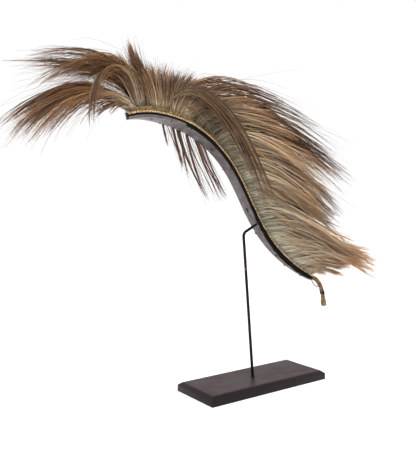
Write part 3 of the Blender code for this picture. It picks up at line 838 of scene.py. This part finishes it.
# %% Twine round the knob
SQUARENESS = 0.72
angle = np.linspace(0, 2 * np.pi, 25)
widest = np.maximum(np.abs(np.cos(angle)), np.abs(np.sin(angle)))
reach = TAIL_WRAP_WIDTH / 2 * 0.9 / widest**SQUARENESS
flat_loop = np.outer(reach * np.cos(angle), side_way) + np.outer(reach * np.sin(angle), across)
turns = []
for level in np.linspace(-0.42, 0.42, 8):
    lift = TAIL_WRAP_LENGTH * (level + 0.03 * angle / np.pi)
    turns.append(np.array(middle) + flat_loop + np.outer(lift, down))
knob_twine = strand_piece("knob_twine", np.array(turns), 0.0008, 5, tail_fibre, "tan_cord")
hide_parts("tail_cord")

# %% [markdown]
# ## Tie threads
# The headdress isn't glued to its stand: dark thread is knotted in the bar's four slots and sewn
# round its edges, through the felt. The dark knots also stand as painted shade in the slots. From
# the side each turn shows as a small step in the black band. One thin loop runs from the end of
# the strip to the tail cord.

# %% Threads round the bar
TURN_REACH = 0.003
TURN_RADIUS = 0.00055
OVER_BARE, OVER_FOLD, FOLD_FROM = 0.0003, 0.0020, 0.6
THREAD_LEANS = (0.002, 0.003, -0.002, 0.002, 0.003, 0.004, 0.002)


def thread_turn(share, lean, side):
    """One turn of thread round one edge of bar and felt, sunk into both at its ends."""
    half = float(bar_width(share)) / 2 + (OVER_BARE if share < FOLD_FROM else OVER_FOLD)
    inner = float(bar_width(share)) / 2 - TURN_REACH
    low, high = UNDERSIDE - 0.0004, 0.0006
    corners = (
        (high - 0.0012, inner - 0.0006), (high, inner), (high, half), (low, half), (low, inner),
        (low + 0.0012, inner - 0.0006),
    )
    points = []
    for (l0, s0), (l1, s1) in zip(corners, corners[1:]):
        for t in np.linspace(0.04, 0.96, 4):
            run = share + lean * len(points) / 20 / SPINE_LENGTH
            points.append(on_spine(run, l0 + (l1 - l0) * t, side * (s0 + (s1 - s0) * t)))
    return np.array(points)


places = list(zip(THREAD_SHARES, THREAD_LEANS))
loops = np.array([thread_turn(share, lean, side) for side in (-1, 1) for share, lean in places])
strand_piece("tie_threads", loops, TURN_RADIUS, 5, dark_thread, "tan_cord")

# %% Knots in the slots, also painted shade
# The dark knots are also painted shade: they darken the slots as the shade in the holes would.
SLOT_SHARES = (0.085, 0.339, 0.594, 0.804)
KNOT_RADIUS = 0.0014
KNOT_SUNK = 0.0003

shape = bmesh.new()
flat = Matrix.Diagonal((2.2, 1.0, 0.8, 1.0))
for share in SLOT_SHARES:
    under = Matrix.Translation(Vector(on_spine(share, UNDERSIDE + KNOT_SUNK)))
    slant = Matrix.Rotation(-math.radians(float(tabled(SPINE_HEADINGS, share))), 4, "Y")
    bmesh.ops.create_icosphere(
        shape, subdivisions=3, radius=KNOT_RADIUS, matrix=under @ slant @ flat
    )
piece_from(shape, "slot_knots_and_shade", dark_thread)
print("knots", len(SLOT_SHARES))

# %% Loop from the strip to the tail cord
LOOP_RADIUS = 0.0010
LOOP_HANGS = (
    (0.0, 0.0, 0.0), (0.0030, -0.003, -0.0115), (0.0110, -0.004, -0.0185),
    (0.0225, 0.001, -0.0194),
)

strip_end = on_spine(0.995, -0.001, -0.002)
loop_route = smooth_route([strip_end + np.array(hang) for hang in LOOP_HANGS], 6)
loop_thread = strand_piece(
    "loop_thread", loop_route[None], LOOP_RADIUS, 5, dark_thread, "tan_cord", tones=(0.5,)
)

# %% [markdown]
# ## Hair colours
# Two kinds of hair are tied in. The long guard hairs are pale at the root, dark brown along most
# of their length and a little lighter again at the tip. The short hairs on the flanks are grey
# beige with a green cast near the base. The few locks that slipped under the bar are redder, and
# the loose lock is tan. Hair is a dielectric of IOR 1.55 with a satin surface. Each material runs
# one ramp along the hair for light hairs and one for dark hairs, and mixes them by each hair's
# own tone. Colour along a hair comes from its attribute, so it bends with the hair.

# %% Hair materials
UNTINTED = ((-0.15, "#ffffff"), (0.0, "#ffffff"))
TINT_FROM, TINT_TO = -0.4, 0.3
PATCHES = 26.0  # one patch every 38 mm


def hair_finish(name, light, dark, patch, patch_share, along_x=UNTINTED):
    """Hair that changes colour from root to tip and along the headdress, light and dark mixed."""
    material, _ = finish_named(name, light[1][1], 0.42, IOR=1.55, Specular_IOR_Level=0.4)
    at = {"Vector": place(material)}
    along = add(material, "Attribute", out="Fac", attribute_name="along")
    tone = add(material, "Attribute", out="Fac", attribute_name="tone")
    light_and_dark = {6: ramp(material, along, *dark), 7: ramp(material, along, *light), 0: tone}
    mixed = add(material, "Mix", light_and_dark, 2, data_type="RGBA")
    spots = {"Value": add(material, "TexNoise", at, "Fac", Scale=PATCHES, Detail=2.0)}
    window = add(
        material, "MapRange", spots, "Result", From_Min=0.54, From_Max=0.62, To_Max=patch_share
    )
    patched = add(material, "Mix", {6: mixed, 0: window}, data_type="RGBA")
    patched.inputs[7].default_value = linear(patch)
    x_run = {"Value": add(material, "SeparateXYZ", at, "X")}
    run = add(material, "MapRange", x_run, "Result", From_Min=TINT_FROM, From_Max=TINT_TO)
    tints = [((x - TINT_FROM) / (TINT_TO - TINT_FROM), code) for x, code in along_x]
    tinted = add(
        material, "Mix", {6: patched.outputs[2], 7: ramp(material, run, *tints)},
        data_type="RGBA", blend_type="MULTIPLY",
    )
    tinted.inputs[0].default_value = 1.0
    join(material, tinted.outputs[2], "Base Color")
    return material


long_hair = hair_finish(
    "long_guard_hair",
    ((0.0, "#d8cbb8"), (0.25, "#c4a988"), (0.5, "#b78957"), (0.8, "#a1764a"), (1.0, "#9c7049")),
    ((0.0, "#85715a"), (0.15, "#5a4029"), (0.5, "#3b200a"), (0.75, "#3c210c"), (1.0, "#523017")),
    "#6a2f20", 0.22,
    ((-0.15, "#ffffff"), (0.0, "#f4ece2")),
)
dark_hair = hair_finish(
    "dark_slipped_hair",
    ((0.0, "#8a6a50"), (0.2, "#84583e"), (0.6, "#7a4c36"), (1.0, "#704836")),
    ((0.0, "#42281b"), (0.2, "#3e2214"), (0.6, "#3f2112"), (1.0, "#4c2b1a")),
    "#5a2a1e", 0.2,
)
bristle_hair = hair_finish(
    "beige_bristle_hair",
    ((0.0, "#d8c7aa"), (0.35, "#bb9f80"), (0.7, "#a07c57"), (1.0, "#96704f")),
    ((0.0, "#7c6447"), (0.35, "#4b2f16"), (0.7, "#36200f"), (1.0, "#321c0e")),
    "#7a3f2e", 0.16,
)
flank_hair = hair_finish(
    "grey_flank_hair",
    ((0.0, "#bcc0ae"), (0.15, "#cfc7b0"), (0.6, "#dcc2a4"), (1.0, "#d1a86f")),
    ((0.0, "#5f6a60"), (0.15, "#76705f"), (0.6, "#7b5f48"), (1.0, "#704c2c")),
    "#8a5240", 0.18,
    (
        (-0.150, "#b3a89a"), (-0.085, "#baae9f"), (-0.020, "#f2ebe2"), (0.190, "#ffffff"),
        (0.255, "#ffdca0"),
    ),
)
tan_hair = hair_finish(
    "tan_loose_hair",
    ((0.0, "#b8a486"), (0.3, "#9a7953"), (0.7, "#92714c"), (1.0, "#8a6946")),
    ((0.0, "#5d4630"), (0.3, "#3c2410"), (0.7, "#341e0d"), (1.0, "#321c0e")),
    "#6b3a2e", 0.12,
)

# %% [markdown]
# ## Growing a fan of hair
# Each fan is written as a few rows: where a lock stands, the direction it starts and ends in, its
# length, how far it leans out sideways, and where half of its turn is done. Hairs take the rows'
# values at their own place, with small chances of their own. They gather in locks: each hair is
# drawn towards its lock's middle as it runs out, which gives the pointed, parted ends that
# untreated hair has. A few wild ones are left free and make the fine haze round the outline.

# %% Fans of hair
TURN_SHARPNESS = 2.0
REACH_POWER = 1.6


def hair_paths(root, launch, finish, length, reach, turn_at, levels, sharpness):
    """Paths of many hairs at once; every argument holds one value for each hair."""
    s = (np.arange(levels) + 0.5)[None, :] / levels
    bend = s**sharpness / (s**sharpness + turn_at[:, None] ** sharpness)
    bend = bend * (1 + turn_at[:, None] ** sharpness)
    angle = np.radians(launch[:, None] + (finish - launch)[:, None] * bend)
    step = (length / levels)[:, None]
    x = np.cumsum(step * np.cos(angle), axis=1)
    z = np.cumsum(step * np.sin(angle), axis=1)
    s = (np.arange(levels) + 1)[None, :] / levels
    y = (length * reach)[:, None] * (1 - (1 - s) ** REACH_POWER)
    moved = np.stack((x, y, z), axis=-1)
    moved = np.concatenate((np.zeros((len(root), 1, 3)), moved), axis=1)
    return root[:, None, :] + moved


def read_along(paths, which, shares):
    """Points at shares along some of the paths."""
    levels = paths.shape[1] - 1
    spot = np.clip(shares, 0, 1) * levels
    low = np.minimum(spot.astype(int), levels - 1)
    part = (spot - low)[..., None]
    return paths[which[:, None], low] * (1 - part) + paths[which[:, None], low + 1] * part


# %% [markdown]
# ## How wild the hair is
# No two locks and no two hairs are alike. These numbers say by how much they differ: in length,
# lean, place, tone and thickness. They lie between two faults: hair that is too even reads as a
# brush, and hair that is too wild loses its locks.

# %% Chances of the hair
HAIR_SIDES = 3
LOCK_LENGTH = 0.06  # how unlike each other the locks are in length
LOCK_REACH = 0.02  # and in how far they lean out
LOCK_JITTER = 0.3  # how far a lock stands from its even place, of the way to the next
LOOSENESS = 2.6  # how much wilder a single hair is than a wisp
SHORTEST = 0.4  # of the row's length
CROPPED = (0.3, 0.6)  # what is left of a broken hair
HOLDS = (0.7, 1.0)  # how firmly a lock pulls its wisps in
FREE_HOLD = 0.2  # and its single and broken hairs
PULLED_IN = 0.85
PACES = (1.2, 2.8)  # waves along a hair
TONE_SHAPE = 0.65  # under 1: more light and dark hairs than middling ones
TONE_JITTER = 0.10
RUN_LENGTHS = (0.78, 1.0)  # of its wisp's length
THICKNESSES = (0.75, 1.2)
SINGLE_THICKNESS = 0.6
ROOT_THICKNESS, FULL_FROM = 0.6, 0.12  # thin at the root, full from this share of its length
TIP_LOSS, TIP_POWER = 0.72, 1.8  # what it loses towards its tip, and how late

# Hair stays within what may stand proud of the solids, and well above the floor.
LOW_LIMIT = np.array(cad_box[0]) - np.array((0.026, 0.010, -0.16))
HIGH_LIMIT = np.array(cad_box[1]) + np.array((0.024, 0.010, 0.022))
print("hair stays within", LOW_LIMIT.round(3), HIGH_LIMIT.round(3))

# %% [markdown]
# ## One fan
# First come the locks, each with a middle hair. Then come the wisps and the single hairs, pulled
# in towards the middle of their lock. Last, each wisp becomes a few hairs that lie side by side
# and part a little at their ends. A hair that would leave the room it has is dropped.

# %% Growing a fan
def grow(
    name, node, rows, hair_length, side, root_at, material, slot, seed, locks, wisps, singles,
    each=8, levels=6, pull=0.75, lock_angle=4.0, wisp_angle=2.2, wisp_length=0.10,
    wisp_reach=0.03, wisp_width=0.0009, wave=0.0012, radius=0.00042, short=0.0, dark=0.5,
    sharpness=TURN_SHARPNESS,
):
    """One fan of hair in place of one solid fan: locks, wisps in each lock, hairs in each wisp."""
    rng = np.random.default_rng(seed)
    stations = np.array([row[0] for row in rows])
    gaps = np.diff(stations)
    first, last = stations[0] - gaps[0] / 2, stations[-1] + gaps[-1] / 2
    apart = (last - first) / locks
    lock_own = np.clip(rng.normal(0, 1, (locks, 5)), -2, 2)

    def values(at, own):
        """The rows' values at places along the fan, with each lock's own changes."""
        columns = [np.interp(at, stations, [row[k] for row in rows]) for k in range(1, 6)]
        launch = columns[0] + lock_angle * lock_own[own, 0]
        finish = columns[1] + 1.6 * lock_angle * lock_own[own, 1]
        length = hair_length * columns[2] * (1 + LOCK_LENGTH * lock_own[own, 2])
        reach = side * (columns[3] + LOCK_REACH * lock_own[own, 3])
        return launch, finish, length, reach, columns[4]

    off_place = rng.uniform(-LOCK_JITTER, LOCK_JITTER, locks)
    lock_at = first + apart * (np.arange(locks) + 0.5 + off_place)
    of_lock = values(lock_at, np.arange(locks))
    middle = hair_paths(root_at(lock_at, 0 * lock_at), *of_lock, levels, sharpness)

    total = wisps + singles
    lone = np.arange(total) >= wisps
    at = rng.uniform(first, last, total)
    spot = at + rng.normal(0, LOCK_JITTER, total) * apart
    lock = np.argmin(np.abs(spot[:, None] - lock_at[None, :]), axis=1)
    launch, finish, length, reach, turn_at = values(at, lock)
    looser = np.where(lone, LOOSENESS, 1.0)
    launch = launch + wisp_angle * looser * rng.normal(0, 1, total)
    finish = finish + 1.5 * wisp_angle * looser * rng.normal(0, 1, total)
    length = length * np.clip(1 - wisp_length * np.abs(rng.normal(0, 1, total)), SHORTEST, 1.0)
    cropped = rng.uniform(size=total) < short
    length = np.where(cropped, length * rng.uniform(*CROPPED, total), length)
    reach = reach + side * wisp_reach * looser * rng.normal(0, 1, total)
    roots = root_at(at, rng.uniform(-1, 1, total))
    paths = hair_paths(roots, launch, finish, length, reach, turn_at, levels, sharpness)

    s = np.linspace(0, 1, levels + 1)[None, :]
    line = read_along(middle, lock, s * (length / of_lock[2][lock])[:, None])
    hold = pull * np.where(lone | cropped, FREE_HOLD, rng.uniform(*HOLDS, total))[:, None, None]
    hold = hold * s[..., None] ** 1.2
    paths = paths + hold * PULLED_IN * (line - paths)
    phase = rng.uniform(0, 2 * np.pi, (total, 2, 1))
    pace = rng.uniform(*PACES, (total, 1))
    paths[..., 2] += wave * looser[:, None] * s * np.sin(2 * np.pi * pace * s + phase[:, 0])
    paths[..., 1] += wave * s * np.sin(2 * np.pi * pace * s + phase[:, 1])
    wisp_tone = rng.beta(TONE_SHAPE, TONE_SHAPE, total) - 0.45 * (dark - 0.5)
    wisp_tone = wisp_tone + 0.15 * lock_own[lock, 4]

    wisp = np.concatenate((np.repeat(np.arange(wisps), each), np.arange(wisps, total)))
    hairs = len(wisp)
    strands = read_along(paths, wisp, rng.uniform(*RUN_LENGTHS, (hairs, 1)) * s)
    in_wisp = (wisp < wisps)[:, None]
    off = rng.normal(0, 1, (hairs, 1, 3)) * wisp_width * in_wisp[..., None]
    flare = rng.normal(0, 1, (hairs, 1, 3)) * wisp_width * 0.9
    strands = strands + off * (0.5 + 0.5 * s - 0.7 * s**2)[..., None] + flare * (s**3)[..., None]
    body = np.clip(s / FULL_FROM, ROOT_THICKNESS, 1.0) * (1 - TIP_LOSS * s**TIP_POWER)
    thickness = radius * rng.uniform(*THICKNESSES, (hairs, 1))
    radii = thickness * np.where(in_wisp, 1.0, SINGLE_THICKNESS) * body
    tone = np.clip(wisp_tone[wisp] + rng.normal(0, TONE_JITTER, hairs), 0, 1)
    inside = np.all((strands > LOW_LIMIT) & (strands < HIGH_LIMIT), axis=(1, 2))
    hair = strands[inside], radii[inside], HAIR_SIDES
    strand_piece(name, *hair, material, slot, node, tones=tone[inside])


# %% [markdown]
# ## Where the hairs stand
# Most fans stand in a row along the base, near its near edge, in its middle or near its far edge.
# The plumes stand across the base at one place of it. Roots sink a little into the plait.

# %% Rows of roots
ROOT_DEPTH = 0.7
SIDE_ROW = 0.66
NEAR, FAR = -1, 1


def in_base(share, across):
    """Roots in the base, from its near edge, -1, to its far edge, 1."""
    lift = GAP + ROOT_DEPTH * weave_height(share)
    return on_spine(share, lift, across * weave_width(share) / 2)


def row_roots(row, spread):
    """Roots along the base."""
    return lambda share, jitter: in_base(share, row + spread * jitter)


def cross_roots(share, spread):
    """Roots across the base at one share of the spine."""
    return lambda across, jitter: in_base(share + spread * jitter, across)


def hanging_roots(share, jitter):
    """Roots beside the edging on the far side."""
    out = bar_width(share) / 2 + GAP + 0.0016 * (1 + jitter)
    return on_spine(share, GAP + EDGING_RADIUS * jitter, out)


near_row, middle_row, far_row = (row_roots(row, 0.3) for row in (-SIDE_ROW, 0.0, SIDE_ROW))
print("roots at the front", near_row(0.1, 0.0).round(3))

# %% [markdown]
# ## The two plumes and the curl
# At the forehead the long hair falls forward in two plumes, one over the other. Their ends part
# into thin locks. One dark lock at the side hooks down hard.

# %% Plumes
FRONT_PLUME = (
    (-0.80, 147, 238, 0.86, -0.09, 0.43), (-0.42, 146, 237, 0.98, -0.05, 0.44),
    (-0.05, 144, 236, 1.06, 0.00, 0.44), (0.34, 142, 235, 1.06, 0.05, 0.45),
    (0.76, 140, 233, 0.96, 0.10, 0.46),
)
CROWN_PLUME = (
    (-0.24, 107, 231, 0.88, -0.09, 0.56), (-0.08, 105, 224, 0.94, -0.03, 0.54),
    (0.08, 106, 208, 1.00, 0.04, 0.42), (0.24, 109, 195, 1.04, 0.10, 0.34),
)
FRONT_CURL = ((0.030, 121, 271, 0.94, 0.21, 0.45), (0.038, 119, 269, 0.97, 0.23, 0.45))
PLUME_LENGTH = 0.220
CURL_LENGTH = 0.195
grow(
    "front_plume_hair", "front_plume", FRONT_PLUME, PLUME_LENGTH, FAR, cross_roots(0.022, 0.010),
    long_hair, "long_hair", seed=28, locks=13, wisps=108, singles=280, levels=9, pull=0.86,
    lock_angle=2.6, wisp_angle=2.4, wisp_length=0.16, radius=0.00045, short=0.14, dark=0.9,
)
grow(
    "crown_plume_hair", "crown_plume", CROWN_PLUME, PLUME_LENGTH, FAR, cross_roots(0.046, 0.014),
    long_hair, "long_hair", seed=22, locks=9, wisps=42, singles=380, levels=9, pull=0.93,
    lock_angle=5.0, wisp_angle=2.0, wisp_length=0.20, wisp_reach=0.014, dark=0.9,
)
grow(
    "front_curl_hair", "front_curl", FRONT_CURL, CURL_LENGTH, NEAR, row_roots(-SIDE_ROW, 0.25),
    long_hair, "long_hair", seed=23, locks=2, wisps=11, singles=24, levels=13, pull=0.95,
    lock_angle=0.6, wisp_angle=0.8, wisp_reach=0.006, dark=1.4, sharpness=4.0,
)

# %% [markdown]
# ## Tuft and bristles
# Behind the plumes a dark tuft stands straight up, and on both sides of it short pale bristles
# rise from the base and lean back more and more.

# %% Tuft and bristles
STANDING_TUFT = (
    (0.072, 109, 112, 1.30, -0.02, 0.50), (0.088, 107, 110, 1.62, 0.02, 0.50),
    (0.104, 103, 104, 1.15, 0.02, 0.50),
)
NEAR_BRISTLES = (
    (0.082, 103, 122, 0.84, 0.22, 0.50), (0.104, 97, 104, 0.82, 0.20, 0.50),
    (0.126, 91, 80, 0.84, 0.18, 0.50), (0.148, 84, 48, 0.88, 0.18, 0.50),
    (0.172, 76, 22, 0.94, 0.16, 0.42), (0.196, 68, 4, 1.02, 0.15, 0.36),
)
FAR_BRISTLES = (
    (0.072, 110, 155, 1.30, 0.34, 0.45), (0.098, 103, 112, 1.20, 0.32, 0.50),
    (0.126, 94, 88, 1.22, 0.28, 0.50), (0.154, 84, 45, 1.25, 0.24, 0.42),
    (0.182, 76, 6, 1.50, 0.22, 0.35),
)
BRISTLE_LENGTH = 0.080
grow(
    "standing_tuft_hair", "standing_tuft", STANDING_TUFT, BRISTLE_LENGTH, FAR, middle_row,
    long_hair, "long_hair", seed=24, locks=1, wisps=76, singles=260, pull=0.92, dark=1.6,
)
grow(
    "near_bristle_hair", "near_bristles", NEAR_BRISTLES, BRISTLE_LENGTH, NEAR, near_row,
    bristle_hair, "bristle_hair", seed=25, locks=18, wisps=230, singles=520, each=6, pull=0.35,
    wisp_angle=4.0, dark=0.95,
)
grow(
    "far_bristle_hair", "far_bristles", FAR_BRISTLES, BRISTLE_LENGTH, FAR, far_row,
    bristle_hair, "bristle_hair", seed=26, locks=12, wisps=90, singles=640, each=6, pull=0.3,
    wisp_angle=5.5, dark=0.6,
)

# %% [markdown]
# ## Crest, flanks and the loose lock
# Along the middle stands the crest of long dark hair, swept back over the neck. On both sides the
# finer grey hair lies against it like a mane, and one long tan lock has fallen across it.

# %% Crest and flanks
CREST = (
    (0.160, 88, -38, 0.38, -0.01, 0.50), (0.194, 80, -21, 0.74, 0.03, 0.29),
    (0.230, 75, -21, 0.88, 0.00, 0.26), (0.272, 70, -23, 0.98, 0.04, 0.25),
    (0.320, 64, -27, 1.01, 0.00, 0.24), (0.370, 59, -30, 1.01, 0.04, 0.23),
    (0.425, 53, -33, 0.98, -0.01, 0.22), (0.485, 44, -34, 0.88, 0.06, 0.22),
    (0.555, 34, -34, 0.77, -0.01, 0.22), (0.630, 24, -32, 0.64, 0.05, 0.22),
    (0.710, 17, -27, 0.54, 0.00, 0.22),
)
NEAR_FLANK = (
    (0.212, 60, -8, 0.50, 0.14, 0.26), (0.250, 55, -13, 0.55, 0.18, 0.25),
    (0.288, 49, -19, 0.62, 0.14, 0.24), (0.326, 43, -24, 0.72, 0.18, 0.23),
    (0.365, 38, -28, 0.82, 0.14, 0.22), (0.406, 33, -31, 0.88, 0.17, 0.21),
    (0.450, 28, -33, 0.82, 0.13, 0.20), (0.496, 24, -35, 0.75, 0.17, 0.20),
    (0.544, 20, -35, 0.73, 0.10, 0.20), (0.594, 16, -33, 0.76, 0.15, 0.20),
    (0.646, 13, -30, 0.86, 0.10, 0.20), (0.698, 12, -28, 0.98, 0.15, 0.20),
    (0.752, 14, -24, 0.99, 0.10, 0.20), (0.806, 18, -19, 0.84, 0.15, 0.20),
    (0.860, 22, -14, 0.62, 0.10, 0.22), (0.914, 26, -14, 0.46, 0.13, 0.25),
    (0.968, 24, -20, 0.32, 0.08, 0.30),
)
FAR_FLANK = (
    (0.232, 64, -8, 0.60, 0.18, 0.26), (0.286, 56, -16, 0.68, 0.22, 0.25),
    (0.340, 48, -23, 0.80, 0.18, 0.23), (0.396, 40, -29, 0.88, 0.21, 0.22),
    (0.454, 32, -33, 0.84, 0.13, 0.20), (0.516, 25, -35, 0.77, 0.18, 0.20),
    (0.582, 18, -33, 0.77, 0.13, 0.20), (0.652, 14, -29, 0.82, 0.18, 0.20),
    (0.724, 15, -26, 0.86, 0.13, 0.20), (0.800, 19, -19, 0.72, 0.18, 0.20),
    (0.876, 24, -14, 0.50, 0.13, 0.22), (0.952, 36, -14, 0.28, 0.13, 0.28),
)
LOOSE_LOCK = ((0.121, 82, -70, 0.92, 0.22, 0.19), (0.127, 82, -73, 0.92, 0.19, 0.19))
CREST_LENGTH = 0.360
FLANK_LENGTH = 0.300
LOOSE_LENGTH = 0.305
grow(
    "crest_hair", "crest", CREST, CREST_LENGTH, FAR, middle_row, long_hair, "long_hair", seed=31,
    locks=34, wisps=330, singles=300, levels=9, pull=0.78, wisp_angle=2.6, wisp_length=0.14,
    radius=0.00045, dark=1.1,
)
grow(
    "near_flank_hair", "near_flank", NEAR_FLANK, FLANK_LENGTH, NEAR, near_row, flank_hair,
    "flank_hair", seed=32, locks=44, wisps=740, singles=400, each=5, levels=7, pull=0.5,
    lock_angle=2.5, wisp_width=0.0012, wave=0.0016, radius=0.00043, short=0.3, dark=0.42,
)
grow(
    "far_flank_hair", "far_flank", FAR_FLANK, FLANK_LENGTH, FAR, far_row, flank_hair,
    "flank_hair", seed=33, locks=36, wisps=330, singles=240, each=7, pull=0.7, lock_angle=2.5,
    wave=0.0016, radius=0.00050, short=0.3, dark=0.42,
)
grow(
    "loose_lock_hair", "loose_lock", LOOSE_LOCK, LOOSE_LENGTH, NEAR, near_row, tan_hair,
    "bristle_hair", seed=34, locks=2, wisps=16, singles=30, levels=13, pull=0.86, lock_angle=0.6,
    wisp_angle=1.0, wisp_length=0.25, wisp_reach=0.005, dark=1.35,
)

# %% [markdown]
# ## Locks under the bar
# On the far side a few dark locks have slipped under the bar and hang down past it.

# %% Hanging locks
HANGING_LOCKS = (
    (0.160, -74, -70, 0.34, 0.10, 0.50), (0.196, -66, -62, 0.82, 0.10, 0.50),
    (0.240, -62, -58, 1.00, 0.10, 0.50), (0.286, -56, -50, 0.92, 0.10, 0.50),
)
HANGING_LENGTH = 0.140
grow(
    "hanging_hair", "hanging_locks", HANGING_LOCKS, HANGING_LENGTH, FAR, hanging_roots,
    dark_hair, "long_hair", seed=37, locks=5, wisps=24, singles=40, each=7, levels=8, pull=0.96,
    lock_angle=3.0, wisp_angle=1.5, wisp_reach=0.006, radius=0.00055, dark=0.6,
)

# %% [markdown]
# ## Floor and light
# The photograph was taken on white with large soft lights. A wide pale floor and an even bright
# sky give the same, with a soft sun overhead and one large light from the upper left to shape
# the hair. The camera itself sees the sky at an even strength.

# %% Stage
shape = bmesh.new()
bmesh.ops.create_circle(shape, cap_ends=True, segments=96, radius=14.0)
mesh = bpy.data.meshes.new("pale_floor")
shape.to_mesh(mesh)
shape.free()
floor_paint, _ = finish_named("pale_studio_floor", "#f4f2f0", 0.85)
at = {"Vector": place(floor_paint)}
dust = add(floor_paint, "TexNoise", at, "Fac", Scale=3.0, Detail=2.0)
join(floor_paint, ramp(floor_paint, dust, (0.2, "#f2f0ee"), (0.8, "#f6f4f2")), "Base Color")
mesh.materials.append(floor_paint)
in_scene("pale_floor", mesh)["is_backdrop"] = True

world = bpy.data.worlds.new("studio")
world.use_nodes = True
sky = world.node_tree.nodes["Background"]
way = add(world, "TexCoord", out="Generated")
upward = {"Value": add(world, "SeparateXYZ", {"Vector": way}, "Z")}
height = add(
    world, "MapRange", upward, "Result", From_Min=-0.1, From_Max=0.9, To_Min=0.60, To_Max=1.25
)
straight = add(world, "LightPath", out="Is Camera Ray")
seen = add(world, "Mix", {0: straight, 2: height})
seen.inputs[3].default_value = 1.0
world.node_tree.links.new(seen.outputs[0], sky.inputs["Strength"])
sky.inputs["Color"].default_value = (1.0, 1.0, 1.0, 1.0)
bpy.context.scene.world = world
bpy.context.scene.view_settings.view_transform = "Standard"

sun_data = bpy.data.lights.new("soft_ceiling", "SUN")
sun_data.energy = 1.7
sun_data.angle = math.radians(50)
in_scene("soft_ceiling", sun_data, turn=(math.radians(18), math.radians(-22), 0.0))

key_place, key_aim = Vector((-1.1, -1.3, 1.7)), Vector((0.0, 0.0, 0.35))
key_data = bpy.data.lights.new("key_light", "AREA")
key_data.size = 1.0
key_data.energy = 28.0
key_turn = (key_aim - key_place).to_track_quat("-Z", "Y").to_euler()
in_scene("key_light", key_data, key_place, key_turn)
print("lights", sun_data.name, key_data.name)

# %% Measure and finish
boxes = {"cad": cad_box, "scene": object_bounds()}
boxes = {name: [list(map(float, corner)) for corner in box] for name, box in boxes.items()}
for name, box in boxes.items():
    print(name, "box", [[round(value, 3) for value in corner] for corner in box])
